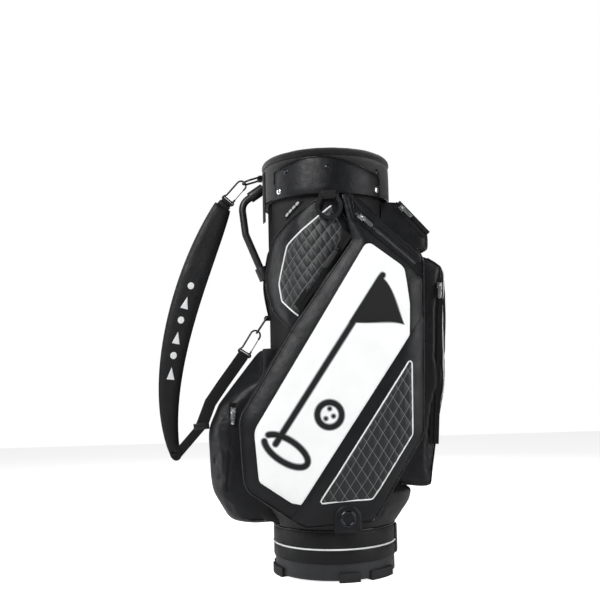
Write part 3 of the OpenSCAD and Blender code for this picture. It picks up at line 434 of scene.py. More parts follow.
def tube(name, points, radius, material, closed=False, body="bag", stands_for=(), sides=8):
    """A round tube along points in metres."""
    curve = bpy.data.curves.new(name, "CURVE")
    curve.dimensions = "3D"
    curve.bevel_depth = radius
    curve.bevel_resolution = sides // 4
    curve.use_fill_caps = not closed
    spline = curve.splines.new("POLY")
    spline.points.add(len(points) - 1)
    for target, point in zip(spline.points, points):
        target.co = (*point, 1)
    spline.use_cyclic_u = closed
    holder = bpy.data.objects.new(name, curve)
    mesh = bpy.data.meshes.new_from_object(holder)
    bpy.data.objects.remove(holder)
    bm = bmesh.new()
    bm.from_mesh(mesh)
    bmesh.ops.remove_doubles(bm, verts=bm.verts, dist=1e-6)
    bpy.data.meshes.remove(mesh)
    return made(name, bm, material, body, stands_for, smooth=60)


def block(bm, place, size, slope=0.0):
    """Adds a small box, its top a little narrower where slope is set."""
    verts = bmesh.ops.create_cube(bm, size=1, matrix=place @ Matrix.Diagonal((*size, 1)))["verts"]
    if slope:
        centre = place.translation
        up = place.to_3x3() @ Vector((0, 0, 1))
        for v in verts:
            if (v.co - centre).dot(up) > 0:
                v.co = centre + up * (v.co - centre).dot(up) + (
                    (v.co - centre) - up * (v.co - centre).dot(up)) * (1 - slope)


def frame_at(origin, along, up):
    along = along.normalized()
    across = up.cross(along).normalized()
    place = Matrix((along, across, along.cross(across))).transposed().to_4x4()
    place.translation = origin
    return place


STITCH = [3.4 * MM, 0.9 * MM, 0.7 * MM]


def stitched(name, surface, line, pitch=5.0, closed=False, height=0.0, body="bag"):
    """A row of stitches along a line in flat mm."""
    bm = bmesh.new()
    line = spaced([tuple(p)[:2] for p in line], pitch, closed)
    low, high = on(surface, line, height), on(surface, line, height + 1)
    for i in range(len(line) - (0 if closed else 1)):
        ahead = low[(i + 1) % len(line)]
        middle, along = (low[i] + ahead) / 2, ahead - low[i]
        block(bm, frame_at(middle, along, high[i] - low[i]), STITCH, 0.35)
    return made(name, bm, DARK_THREAD, body, smooth=0)


def spun(name, profile, material, stands_for=(), steps=96, place=None, smooth=40):
    """A closed profile of (radius, height) in metres, spun round local Z."""
    bm = bmesh.new()
    verts = [bm.verts.new((r, 0, z)) for r, z in profile]
    edges = [bm.edges.new((verts[i - 1], verts[i])) for i in range(len(verts))]
    bmesh.ops.spin(bm, geom=verts + edges, cent=(0, 0, 0), axis=(0, 0, 1), angle=math.tau,
                   steps=steps, use_merge=True)
    bmesh.ops.remove_doubles(bm, verts=bm.verts, dist=1e-6)
    if place is not None:
        bmesh.ops.transform(bm, matrix=place, verts=bm.verts)
    return made(name, bm, material, "bag", stands_for, smooth)


def copied(node):
    """The CAD node's shape, with its loose triangles joined."""
    bm = bmesh.new()
    bm.from_mesh(frame["nodes"][node].data)
    bmesh.ops.remove_doubles(bm, verts=bm.verts, dist=2e-6)
    return bm


def softened(name, nodes, material, body, width=0.8, segments=2):
    """CAD shapes with their sharp edges rounded, standing for the nodes."""
    bm = bmesh.new()
    for node in nodes:
        part = copied(node)
        mesh = bpy.data.meshes.new("part")
        part.to_mesh(mesh)
        part.free()
        bm.from_mesh(mesh)
        bpy.data.meshes.remove(mesh)
    bmesh.ops.dissolve_limit(bm, angle_limit=math.radians(1.0), verts=bm.verts, edges=bm.edges)
    sharp = [e for e in bm.edges if len(e.link_faces) == 2 and e.calc_face_angle() > math.radians(40)]
    bmesh.ops.bevel(bm, geom=sharp, offset=width * MM, segments=segments, profile=0.5, material=-1,
                    affect="EDGES", clamp_overlap=True)
    bmesh.ops.triangulate(bm, faces=[f for f in bm.faces if len(f.verts) > 4])
    return made(name, bm, material, body, nodes, smooth=45)


def voxelled(bm, size):
    """The same closed form on an even grid of quads."""
    mesh = bpy.data.meshes.new("voxels")
    bm.to_mesh(mesh)
    bm.free()
    holder = bpy.data.objects.new("voxels", mesh)
    scene.collection.objects.link(holder)
    remesh = holder.modifiers.new("remesh", "REMESH")
    remesh.mode, remesh.voxel_size = "VOXEL", size * MM
    graph = bpy.context.evaluated_depsgraph_get()
    result = bpy.data.meshes.new_from_object(holder.evaluated_get(graph))
    bpy.data.objects.remove(holder)
    return result


CLOTH_PRESSURE = 4.0
CLOTH_FRAMES = 16
CLEAR_OF_TRUNK = 4 * MM      # inside this ring round the trunk a pocket doesn't swell
FADE = 20 * MM


def inflated(name, node, material, voxel=5.0, cap=5.0, shrink=2.0):
    """A stuffed pocket: the CAD form blown up a little by a cloth simulation."""
    mesh = voxelled(copied(node), voxel)
    bm = bmesh.new()
    bm.from_mesh(mesh)
    bm.normal_update()
    for _ in range(3):
        bmesh.ops.smooth_vert(bm, verts=bm.verts, factor=0.5, use_axis_x=True, use_axis_y=True,
                              use_axis_z=True)
    bm.normal_update()
    moves = [v.normal * shrink * MM for v in bm.verts]
    for v, move in zip(bm.verts, moves):
        v.co -= move
    bm.to_mesh(mesh)
    bm.free()
    piece = new_piece(name, mesh, material, "bag", (node,), smooth=0)
    start = np.zeros(len(mesh.vertices) * 3)
    mesh.vertices.foreach_get("co", start)
    start = start.reshape(-1, 3)
    cloth = piece.modifiers.new("cloth", "CLOTH")
    cloth.settings.use_pressure = True
    cloth.settings.uniform_pressure_force = CLOTH_PRESSURE
    cloth.settings.effector_weights.gravity = 0
    cloth.settings.tension_stiffness = cloth.settings.compression_stiffness = 8
    cloth.settings.bending_stiffness = 2.5
    cloth.point_cache.frame_start, cloth.point_cache.frame_end = 1, CLOTH_FRAMES
    for step in range(1, CLOTH_FRAMES + 1):
        scene.frame_set(step)
    graph = bpy.context.evaluated_depsgraph_get()
    blown = piece.evaluated_get(graph).to_mesh()
    end = np.zeros(len(blown.vertices) * 3)
    blown.vertices.foreach_get("co", end)
    end = end.reshape(-1, 3)
    piece.evaluated_get(graph).to_mesh_clear()
    piece.modifiers.clear()
    scene.frame_set(1)
    move = end - start
    size = np.linalg.norm(move, axis=1, keepdims=True)
    move = move * np.minimum(1, cap * MM / np.maximum(size, 1e-9))
    away = np.linalg.norm(start[:, :2], axis=1)
    move *= np.clip((away - TRUNK_R - CLEAR_OF_TRUNK) / FADE, 0, 1)[:, None]
    mesh.vertices.foreach_set("co", (start + move).ravel())
    mesh.shade_smooth()
    levels = piece.modifiers.new("smooth", "SUBSURF")
    levels.levels = levels.render_levels = 1
    graph = bpy.context.evaluated_depsgraph_get()
    smooth = bpy.data.meshes.new_from_object(piece.evaluated_get(graph))
    piece.modifiers.clear()
    old, piece.data = piece.data, smooth
    bpy.data.meshes.remove(old)
    return piece


def skin_of(piece):
    """The surface of a finished piece, for laying trim on it."""
    bm = bmesh.new()
    bm.from_mesh(piece.data)
    tree = BVHTree.FromBMesh(bm)
    bm.free()
    return tree


def cast(tree, start, towards):
    """A surface for laid pieces: rays from start(a, b) along towards(a, b) onto a skin."""
    def surface(flat, height):
        places = []
        for (a, b), h in zip(flat, height):
            origin, way = Vector(start(a, b)), Vector(towards(a, b)).normalized()
            hit = tree.ray_cast(origin, way)[0]
            places.append((hit if hit else origin + way * 0.02) - way * h * MM)
        return places
    return surface


# ------------------------------------------------------------------ surfaces of the bag


def drum(radius, height_of=None):
    """The surface of a cylinder about the bag's axis: a is the arc in mm from -Y towards +X."""
    def surface(flat, height):
        r = radius / MM + np.asarray(height)
        if height_of is not None:
            r = r + height_of(flat)
        turn = flat[:, 0] * MM / radius
        return np.stack([r * np.sin(turn), -r * np.cos(turn), flat[:, 1]], 1) * MM
    return surface


def arc(radius, degrees):
    """The length in mm along a drum of an angle from -Y."""
    return math.radians(degrees) * radius / MM


def wall(side, depth, height_of=None):
    """A wall that faces out at y = side * depth; a is x and b is z, in mm."""
    def surface(flat, height):
        y = depth / MM + np.asarray(height)
        if height_of is not None:
            y = y + height_of(flat)
        return np.stack([flat[:, 0], side * y, flat[:, 1]], 1) * MM
    return surface


def mirrored(surface):
    """The same surface on the other side of the bag."""
    return lambda flat, height: np.asarray(surface(flat, height)) * (1, -1, 1)


def both(surface):
    return (("right", surface), ("left", mirrored(surface)))


# ------------------------------------------------------------------ side pockets

SIDE_OUTLINE = rounded([(13, 768, 3), (31, 768, 6), (176, 642, 48), (163, 284, 55), (57, 118, 14),
                        (-78, 111, 30), (-192, 188, 42), (-199, 322, 60), (-92, 497, 60),
                        (32, 672, 10)], 8)
FACE_OUTLINE = rounded([(13, 768, 2), (23, 768, 2), (36, 719, 5), (148, 621, 5), (173, 590, 14),
                        (163, 284, 55), (57, 118, 14), (-78, 111, 30), (-192, 188, 42),
                        (-199, 322, 60), (-92, 497, 60), (32, 672, 10)], 8)
SHOULDER_OUTLINE = rounded([(26, 767, 2), (31, 767, 3), (174, 642, 36), (170, 625, 3), (51, 729, 3)], 8)
WHITE_OUTLINE = rounded([(59, 671, 14), (134, 617, 22), (142, 540, 30), (139, 477, 3), (-85, 156, 3),
                         (-104, 160, 10), (-166, 202, 14), (-174, 300, 40)], 8)
FLAP_OUTLINE = rounded([(140, 481, 2), (171, 522, 3), (162, 290, 55), (56, 122, 14), (-70, 116, 12),
                        (-107, 126, 4)], 8)
QUILT_OUTLINE = rounded([(141, 437, 4), (137, 284, 12), (54, 162, 10), (-51, 157, 4)], 6)
SIDE_CROWN = 15.0
GUSSET_BACK = 80 * MM


def side_crown(flat):
    from_tab = np.hypot(flat[:, 0] - 6, flat[:, 1] - 126)
    crown = swell(depth_inside(FACE_OUTLINE, flat), 62, SIDE_CROWN) + rumple(flat, 0.7)
    return crown * np.clip((from_tab - 36) / 50, 0.0, 1)


def rumple(flat, deep, size=70):
    """Slow waves in stretched leather, in mm."""
    return np.array([noise.noise(Vector((a / size, b / size, 3.1))) for a, b in flat]) * deep


def diamonds(wide, tall, slant, deep):
    """Relief of a quilt: pillows between two sets of crossing seams."""
    def relief(flat, depth):
        u = ((1 + slant) * flat[:, 0] / wide + flat[:, 1] / tall) * math.pi
        v = ((slant - 1) * flat[:, 0] / wide + flat[:, 1] / tall) * math.pi
        return deep * np.sqrt(np.abs(np.sin(u) * np.sin(v))) * np.clip(depth / 4, 0, 1)
    return relief


def gusset(name, side, outline, stands_for):
    """The soft wall of a side pocket, from its back to its seam, with a flat front under the face."""
    bm = bmesh.new()
    outline = spaced(outline, 7, True)
    ring = [bm.verts.new((a * MM, side * GUSSET_BACK, b * MM)) for a, b in outline]
    edges = [bm.edges.new((ring[i - 1], ring[i])) for i in range(len(ring))]
    depth = SEAM_Y - GUSSET_BACK
    steps = 12
    for _ in range(steps):
        geom = bmesh.ops.extrude_edge_only(bm, edges=edges)["geom"]
        verts = [g for g in geom if isinstance(g, bmesh.types.BMVert)]
        edges = [g for g in geom if isinstance(g, bmesh.types.BMEdge)]
        bmesh.ops.translate(bm, vec=(0, side * depth / steps, 0), verts=verts)
    bmesh.ops.recalc_face_normals(bm, faces=bm.faces)
    bm.normal_update()
    centre = Vector((-10 * MM, 0, 440 * MM))
    for v in bm.verts:
        t = (abs(v.co.y) - GUSSET_BACK) / depth
        out = Vector((v.normal.x, 0, v.normal.z))
        if out.dot(v.co - centre) < 0 and abs(v.normal.y) < 0.5:
            out = -out
        puff = 2.2 * math.sin(math.pi * t) ** 0.7 - 1.6 * math.exp(-((t - 0.46) / 0.035) ** 2)
        v.co += out * puff * MM if 0 < t < 1 else Vector()
    bmesh.ops.holes_fill(bm, edges=[e for e in bm.edges if e.is_boundary])
    return made(name, bm, BLACK_LEATHER, "bag", stands_for, smooth=50)


for label, side in (("right", RIGHT), ("left", LEFT)):
    gusset(f"{label}_pocket_gusset", side, SIDE_OUTLINE, (f"{label}_pocket",))

face = wall(RIGHT, SEAM_Y, side_crown)
seam_wall = wall(RIGHT, SEAM_Y)
back_wall = wall(RIGHT, GUSSET_BACK + 3 * MM)
for label, surface in both(face):
    laid(f"{label}_pocket_face", FACE_OUTLINE, surface, BLACK_LEATHER, thick=1.0, sunk=2, cell=6)
    laid(f"{label}_white_panel", WHITE_OUTLINE, surface, WHITE_LEATHER, lift=0.6, thick=0.9, cell=6)
    laid(f"{label}_flap_panel", FLAP_OUTLINE, surface, BLACK_LEATHER, lift=1.2, thick=1.6, cell=6)
    laid(f"{label}_quilt_panel", QUILT_OUTLINE, surface, LOW_QUILT, lift=2.2, thick=0.9, cell=2.0,
         relief=diamonds(22, 34, 0.0, 3.0))
for label, surface in both(seam_wall):
    laid(f"{label}_shoulder_strip", SHOULDER_OUTLINE, surface, BLACK_LEATHER, thick=1.5, cell=5,
         relief=lambda flat, depth: swell(depth, 14, 4.5))

for label, surface in both(face):
    tube(f"{label}_quilt_piping", on(surface, spaced(QUILT_OUTLINE, 5, True), 3.0), 1.6 * MM,
         WHITE_PIPING, closed=True)
    tube(f"{label}_white_panel_welt", on(surface, spaced(WHITE_OUTLINE, 6, True), 1.0), 0.9 * MM,
         PATENT_PIPING, closed=True)
for label, surface in both(seam_wall):
    tube(f"{label}_seam_piping", on(surface, spaced(SIDE_OUTLINE, 7, True), 0.4), 2.3 * MM,
         PATENT_PIPING, closed=True)
    tube(f"{label}_zip_edge_piping", on(surface, spaced([(33, 764), (36, 719), (148, 621), (166, 600)], 7),
                                        1.5), 1.5 * MM, PATENT_PIPING)
for label, surface in both(back_wall):
    tube(f"{label}_back_piping", on(surface, spaced(SIDE_OUTLINE, 7, True), 0.0), 2.3 * MM,
         PATENT_PIPING, closed=True)


def inset_line(outline, inside):
    """The outline moved inwards by a distance in mm."""
    ring = spaced(outline, 5, True)
    count = len(ring)
    area = sum(ring[i - 1].x * ring[i].y - ring[i].x * ring[i - 1].y for i in range(count))
    sign = 1 if area > 0 else -1
    line = []
    for i in range(count):
        along = (ring[(i + 1) % count] - ring[i - 1]).normalized()
        line.append(ring[i] + Vector((-along.y, along.x)) * inside * sign)
    keep = depth_inside(outline, np.array([tuple(p) for p in line])) > inside * 0.85
    return [p for p, k in zip(line, keep) if k]


for label, surface in both(face):
    stitched(f"{label}_face_stitches", surface, inset_line(FACE_OUTLINE, 5), closed=True, height=1.2)
    stitched(f"{label}_panel_stitches", surface, inset_line(WHITE_OUTLINE, -3.5), closed=True, height=1.2)
    stitched(f"{label}_flap_stitches", surface, [(133, 468), (-99, 134)], height=3.0)
    stitched(f"{label}_flap_second_stitches", surface, [(136, 461), (-90, 138)], height=3.0)

# ------------------------------------------------------------------ lines and strokes


def rounded_line(corners, steps=6):
    """An open line in mm from (a, b, radius), with its inner corners rounded."""
    line = [corners[0][:2]]
    for before, (a, b, radius), after in zip(corners, corners[1:], corners[2:]):
        line += corner_arc(before[:2], (a, b), after[:2], radius, steps)
    return line + [corners[-1][:2]]


def stroke(line, width, step=4):
    """The outline of a stroke with round ends, drawn along a line in flat mm."""
    line = spaced(line, step)
    sides = ([], [])
    for i, p in enumerate(line):
        along = (line[min(i + 1, len(line) - 1)] - line[max(i - 1, 0)]).normalized()
        across = Vector((-along.y, along.x)) * width / 2
        sides[0].append(p + across)
        sides[1].append(p - across)
    caps = []
    for p, start in ((line[-1], sides[0][-1]), (line[0], sides[1][0])):
        spoke = start - p
        caps.append([p + Matrix.Rotation(-math.pi * k / 6, 2) @ spoke for k in range(1, 6)])
    return [tuple(p) for p in sides[0] + caps[0] + sides[1][::-1] + caps[1]]


def bezier(p, count=24):
    p = [Vector(q) for q in p]
    return [tuple(p[0] * (1 - t) ** 3 + p[1] * 3 * t * (1 - t) ** 2
                  + p[2] * 3 * t * t * (1 - t) + p[3] * t ** 3)
            for t in (i / count for i in range(count + 1))]


def circle_line(centre, radius, start=0.0, sweep=356.0, count=36):
    return [(centre[0] + radius * math.cos(math.radians(start + sweep * i / count)),
             centre[1] + radius * math.sin(math.radians(start + sweep * i / count)))
            for i in range(count + 1)]


# ------------------------------------------------------------------ embroidered pin flag

MOTIF_CENTRE = (-22, 398)
MOTIF_TILT = 56.0


def tilted(line, centre=MOTIF_CENTRE, tilt=MOTIF_TILT):
    """A line drawn along the panel's own slope."""
    c, s = math.cos(math.radians(tilt)), math.sin(math.radians(tilt))
    return [(centre[0] + (p * c - q * s), centre[1] + (p * s + q * c)) for p, q in line]


def grown(outline, by):
    """A flat outline moved outwards."""
    middle = sum((Vector(p) for p in outline), Vector((0, 0))) / len(outline)
    return [tuple(Vector(p) + (Vector(p) - middle).normalized() * by) for p in outline]


POLE = [(-165, 22), (228, 22)]
GREEN = [(-165 + 21 * math.sin(t), -2 + 48 * math.cos(t))
         for t in (math.radians(20 + 10 * k) for k in range(33))]
BALL_RING = circle_line((-62, -36), 24)
PENNANT = (bezier([(224, 28), (222, -8), (196, -26), (168, -66)], 12)[:-1]
           + bezier([(168, -66), (160, -34), (136, -18), (112, 28)], 12))
STROKES = {"pole": tilted(POLE), "green": tilted(GREEN), "ball": tilted(BALL_RING)}
STROKE_WIDTH, SHADOW_WIDTH, SHADOW_MARGIN = 10, 14.5, 2.6
MOTIF = {part: stroke(line, STROKE_WIDTH) for part, line in STROKES.items()}
MOTIF["pennant"] = tilted(PENNANT)
for index, (p, q) in enumerate(((-52, -30), (-60, -44), (-72, -34))):
    MOTIF[f"dimple_{index}"] = tilted(circle_line((p, q), 3.2, sweep=330, count=11))
for label, surface in both(face):
    for part, outline in MOTIF.items():
        shadow = (stroke(STROKES[part], SHADOW_WIDTH) if part in STROKES
                  else grown(outline, SHADOW_MARGIN))
        laid(f"{label}_{part}_shadow", shadow, surface, SHADOW_EMBROIDERY, lift=1.2, thick=0.7, cell=5)
        laid(f"{label}_{part}_embroidery", outline, surface, EMBROIDERY, lift=1.6, thick=1.8, cell=4)

# ------------------------------------------------------------------ leaf pockets

LEAF_OUTLINE = rounded([(-8, 768, 3), (33, 699, 10), (35, 676, 8), (-99, 496, 5), (-152, 538, 26),
                        (-190, 603, 36), (-150, 686, 30), (-42, 757, 12)], 8)
LEAF_QUILT_LINE = rounded([(-9, 746, 3), (-34, 726, 6), (-102, 669, 22), (-125, 592, 22),
                           (-118, 556, 8), (-84, 526, 3), (16, 688, 6)], 6)
LEAF_PIPING_LINE = rounded_line([(-9, 745, 0), (-34, 726, 6), (-102, 669, 22), (-125, 592, 22),
                                 (-118, 556, 8), (-82, 524, 0)])


def leaf_swell(flat):
    from_ring = np.hypot(flat[:, 0] + 14, flat[:, 1] - 742)
    crown = swell(depth_inside(LEAF_OUTLINE, flat), 26, 5.0) + rumple(flat, 0.5)
    return crown * np.clip((from_ring - 34) / 36, 0, 1)


leaf = drum(LEAF_R, leaf_swell)
leaf_edge = drum(LEAF_R)
for label, surface in both(leaf):
    laid(f"{label}_leaf_pocket_skin", LEAF_OUTLINE, surface, BLACK_LEATHER, lift=-1, thick=1.2, cell=5,
         sunk=13, stands_for=(f"{label}_leaf_pocket",))
    laid(f"{label}_leaf_quilt", LEAF_QUILT_LINE, surface, LEAF_QUILT, lift=0.0, thick=0.8, cell=2.0,
         relief=diamonds(20, 30, 0.18, 1.8))
    tube(f"{label}_leaf_white_piping", on(surface, spaced(LEAF_PIPING_LINE, 5), 1.2), 1.7 * MM,
         WHITE_PIPING)
    stitched(f"{label}_leaf_stitches", surface, inset_line(LEAF_OUTLINE, 4.5), closed=True, height=0.2)
for label, surface in both(leaf_edge):
    tube(f"{label}_leaf_piping", on(surface, spaced(LEAF_OUTLINE, 6, True), 0.2), 2.0 * MM,
         PATENT_PIPING, closed=True)

# ------------------------------------------------------------------ cuff and rim

CUFF_PANEL = rounded([(-140, 773, 3), (-140, 832, 6), (-32, 855, 200), (112, 817, 8), (116, 773, 3)],
                     14)
CUFF_TOP_LINE = rounded_line([(-140, 806, 0), (-140, 832, 6), (-32, 855, 200), (112, 817, 8),
                              (113, 800, 0)], 14)
CUFF_SEWN_LINE = rounded_line([(-134, 800, 0), (-134, 827, 6), (-32, 849, 200), (107, 812, 8),
                               (108, 800, 0)], 14)


def spun_band(name, radius, low, high, thick, material, stands_for=(), puff=0.8):
    """A band of cloth or leather round the bag, with soft edges."""
    profile = [(radius - thick, low), (radius - 0.4 * thick, low)]
    for i in range(9):
        t = i / 8
        profile.append((radius + puff * MM * math.sin(math.pi * t) ** 0.4,
                        low + (high - low) * (0.02 + 0.96 * t)))
    profile += [(radius - 0.4 * thick, high), (radius - thick, high)]
    return spun(name, profile, material, stands_for=stands_for, steps=120)


spun_band("cuff_cover", CUFF_R - 1.4 * MM, CUFF_Z, CUFF_TOP, 3 * MM, VELOUR, ("cuff_band",), 0.5)
cuff = drum(CUFF_R - 1.2 * MM)
for label, surface in both(cuff):
    laid(f"{label}_cuff_panel", CUFF_PANEL, surface, BLACK_LEATHER, thick=1.8, cell=7,
         relief=lambda flat, depth: swell(depth, 12, 1.2) + rumple(flat, 0.5, 40))
    tube(f"{label}_cuff_piping", on(surface, spaced(CUFF_TOP_LINE, 6), 2.0), 1.6 * MM, PATENT_PIPING)
    stitched(f"{label}_cuff_top_stitches", surface, CUFF_SEWN_LINE, height=2.6)
    stitched(f"{label}_cuff_low_stitches", surface, [(-136, 780), (112, 780)], height=2.5)


def welt(name, radius, height, half):
    """A round cord of piping round the bag."""
    turns = (math.tau * k / 10 for k in range(10))
    spun(name, [(radius + half * math.cos(a), height + half * math.sin(a)) for a in turns],
         PATENT_PIPING, steps=120)


welt("cuff_welt", CUFF_R - 3 * MM, CUFF_Z + 0.6 * MM, 2.2 * MM)


def pile_roll():
    """The velour roll round the mouth of the bag."""
    half = 9.4 * MM
    radius = RIM_HIGH.x - 9 * MM
    low, high = RIM_LOW.z, RIM_HIGH.z
    profile = []
    for k in range(25):
        a = math.radians(-38 + 256 * k / 24)
        profile.append((radius + half * math.cos(a), high - half + half * math.sin(a)))
    profile.append((radius - half + 0.6 * MM, low))
    profile.append((radius - 4 * MM, low))
    profile.append((radius - 4 * MM, low + 8 * MM))
    bm = bmesh.new()
    verts = [bm.verts.new((r, 0, z)) for r, z in profile]
    edges = [bm.edges.new((verts[i - 1], verts[i])) for i in range(len(verts))]
    bmesh.ops.spin(bm, geom=verts + edges, cent=(0, 0, 0), axis=(0, 0, 1), angle=math.tau, steps=180,
                   use_merge=True)
    bmesh.ops.recalc_face_normals(bm, faces=bm.faces)
    bm.normal_update()
    for v in bm.verts:
        v.co += v.normal * noise.noise(v.co * 38) * 0.7 * MM
    return made("rim_roll", bm, VELOUR, "bag", ("rim_pad",), smooth=60)


pile_roll()
softened("divider_padding", ["divider_bars"], VELOUR, "bag", 4.0, 3)

# ------------------------------------------------------------------ collar and chin

PIPING_Z = (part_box("collar_piping")[0].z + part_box("collar_piping")[1].z) / 2
spun_band("collar_low_band", COLLAR_R - 0.6 * MM, COLLAR_LOW.z, PIPING_Z - 1.4 * MM, 2.4 * MM, SOFT_LEATHER,
          ("base_collar",), 0.9)
spun_band("collar_high_band", COLLAR_R - 0.6 * MM, PIPING_Z + 1.4 * MM, COLLAR_HIGH.z - 1 * MM, 2.4 * MM,
          SOFT_LEATHER, (), 0.9)
collar = drum(COLLAR_R)
for row, z in enumerate((39.5, 45, 51, 57, 70, 76, 89, 94)):
    stitched(f"collar_stitches_{row}", collar, [(arc(COLLAR_R, -179.5), z), (arc(COLLAR_R, 179.5), z)],
             height=0.0, pitch=5.5)
welt("collar_top_welt", COLLAR_R - 1.4 * MM, COLLAR_HIGH.z + 1 * MM, 2.4 * MM)
CLOSURE_FROM, CLOSURE_TO = arc(COLLAR_R, 70), arc(COLLAR_R, 86)
laid("collar_closure", rounded([(CLOSURE_FROM, 37, 2), (CLOSURE_TO, 34, 5), (CLOSURE_TO, 92, 5),
                                (CLOSURE_FROM, 95, 2)]), collar, SOFT_LEATHER, lift=0.6, thick=2.0,
     cell=6, relief=lambda flat, depth: (flat[:, 0] - CLOSURE_FROM) * 0.08)

# ------------------------------------------------------------------ stuffed pockets

inflated("chin_gusset", "lower_skirt", SOFT_LEATHER, voxel=4.0, cap=2.5, shrink=1.0)
ball = inflated("ball_pocket_body", "ball_pocket", BLACK_LEATHER, cap=5.0, shrink=2.0)
front = inflated("front_pocket_body", "front_pocket", BLACK_LEATHER, cap=2.5, shrink=2.5)
spine = inflated("spine_pocket_body", "spine_pocket", BLACK_LEATHER, cap=5.0, shrink=2.0)

ball_skin, front_skin, spine_skin = skin_of(ball), skin_of(front), skin_of(spine)

BALL_SIDE = [(128, 657, 0), (200, 657, 26), (231, 636, 16), (233, 560, 60), (233, 400, 60),
             (192, 168, 10), (168, 166, 14), (128, 174, 0)]
FRONT_SIDE = [(140, 772, 0), (150, 771, 6), (207, 700, 10), (205, 661, 8), (140, 660, 0)]


def side_of(skin, side):
    """Lays flat (x, z) on the side wall of a front or spine pocket."""
    return cast(skin, lambda a, b: (a * MM, side * 0.12, b * MM), lambda a, b: (0, -side, 0))


NEAR_SIDE = 9 * MM           # a point further than this from the pocket's side has missed its wall
SEWN_INSET = 7


def pocket_trim(name, skin, corners, inset, sewn_in=True):
    """Piping, and a row of stitches inside it, along both side walls of a pocket."""
    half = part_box(name)[1].y
    for label, side in (("right", RIGHT), ("left", LEFT)):
        surface = side_of(skin, side)
        line = spaced(rounded_line(corners), 6)
        centre = sum(line, Vector((0, 0))) / len(line)
        inner = [p + (centre - p).normalized() * inset for p in line]
        spots = [p for p in on(surface, inner, 0.4) if abs(abs(p.y) - half) < NEAR_SIDE]
        tube(f"{label}_{name}_piping", spots, 1.9 * MM, PATENT_PIPING)
        if not sewn_in:
            continue
        sewn = [p + (centre - p).normalized() * (inset + SEWN_INSET) for p in line]
        kept = [p for p, spot in zip(sewn, on(surface, sewn)) if abs(abs(spot.y) - half) < NEAR_SIDE]
        stitched(f"{label}_{name}_stitches", surface, kept, height=0.1)


pocket_trim("ball_pocket", ball_skin, BALL_SIDE, 5)
pocket_trim("front_pocket", front_skin, FRONT_SIDE, 4, sewn_in=False)

BALL_FRONT = rounded([(-56, 632, 16), (56, 632, 16), (58, 420, 60), (48, 196, 16), (-48, 196, 16),
                      (-58, 420, 60)], 6)
ball_front = cast(ball_skin, lambda a, b: (0.35, a * MM, b * MM), lambda a, b: (-1, 0, 0))
laid("ball_front_panel", BALL_FRONT, ball_front, BLACK_LEATHER, thick=1.4, cell=6)
tube("ball_front_piping", on(ball_front, spaced(BALL_FRONT, 5, True), 1.2), 1.6 * MM, WHITE_PIPING,
     closed=True)
stitched("ball_front_stitches", ball_front, inset_line(BALL_FRONT, 6), closed=True, height=1.5)
BALL_QUILT = rounded([(-40, 372, 10), (40, 372, 10), (36, 216, 12), (-36, 216, 12)], 6)
laid("ball_front_quilt", BALL_QUILT, ball_front, LOW_QUILT, lift=1.2, thick=0.8, cell=2.0,
     relief=diamonds(22, 34, 0.0, 2.6))
tube("ball_quilt_piping", on(ball_front, spaced(BALL_QUILT, 5, True), 1.8), 1.3 * MM, PATENT_PIPING,
     closed=True)

SPINE_SIDE = [(-150, 452, 0), (-158, 452, 8), (-238, 344, 16), (-256, 290, 60), (-250, 172, 60),
              (-214, 112, 26), (-150, 110, 0)]
pocket_trim("spine_pocket", spine_skin, SPINE_SIDE, 4)

# ------------------------------------------------------------------ zips

PIN_HEIGHT = 8.6 * MM
TRACK_OVER = 12 * MM


def zip_frame(name):
    """Where a zip lies: a matrix at its slider (X along the track, Z out) and how far the track reaches."""
    slide, pull = joints[f"{name}_slide"], joints[f"{name}_pull"]
    along, across = Vector(slide["axis"]), Vector(pull["axis"])
    up = across.cross(along).normalized()
    pin = Vector(pull["pos_m"])
    if up.dot(Vector((pin.x, pin.y, 0))) < 0 and abs(up.y) < 0.5 or up.y * pin.y < 0:
        up = -up
    low, high = slide["range_m"]
    return frame_at(pin - up * PIN_HEIGHT, along, up), low - TRACK_OVER, high + TRACK_OVER


def zip_line(name, coil_material, stands_for, coil_w=4.6, tape_w=19, pitch=2.4, sewn_pitch=5):
    """Two tapes, a row of teeth and two rows of stitches, as long as the slider's travel."""
    place, low, high = zip_frame(name)
    bm = bmesh.new()
    for side in (-1, 1):
        middle = place @ Matrix.Translation(((low + high) / 2, side * (tape_w / 4 + 0.2) * MM, 0.5 * MM))
        block(bm, middle, ((high - low), (tape_w / 2 - 0.4) * MM, 1.0 * MM), 0.0)
    made(f"{name}_tape", bm, ZIP_TAPE, "bag", stands_for, smooth=0)
    bm = bmesh.new()
    count = int((high - low) / (pitch * MM))
    for i in range(count):
        side = 1 if i % 2 else -1
        spot = place @ Matrix.Translation((low + (i + 0.5) * pitch * MM, side * 0.7 * MM, 1.9 * MM))
        block(bm, spot, (pitch * 0.62 * MM, (coil_w - 1.2) * MM, 1.9 * MM), 0.3)
    made(f"{name}_teeth", bm, coil_material, "bag", smooth=0)
    for row, off in enumerate((-1, 1)):
        bm = bmesh.new()
        for i in range(int((high - low) / (sewn_pitch * MM))):
            spot = place @ Matrix.Translation((low + (i + 0.5) * sewn_pitch * MM,
                                               off * (tape_w / 2 - 2) * MM, 1.1 * MM))
            block(bm, spot, (3.2 * MM, 0.8 * MM, 0.6 * MM), 0.3)
        made(f"{name}_tape_stitches_{row}", bm, DARK_THREAD, "bag", smooth=0)


WIDE_COIL = 7.0
zip_line("right_zip", COIL_SILVER, ("side_zip_tracks",), WIDE_COIL)
zip_line("left_zip", COIL_SILVER, (), WIDE_COIL)
zip_line("right_leaf", COIL_BLACK, ("leaf_zip_tracks",))
zip_line("left_leaf", COIL_BLACK, ())
for name in ("ball_zip", "front_zip", "spine_zip"):
    zip_line(name, COIL_BLACK, (f"{name}_track",))

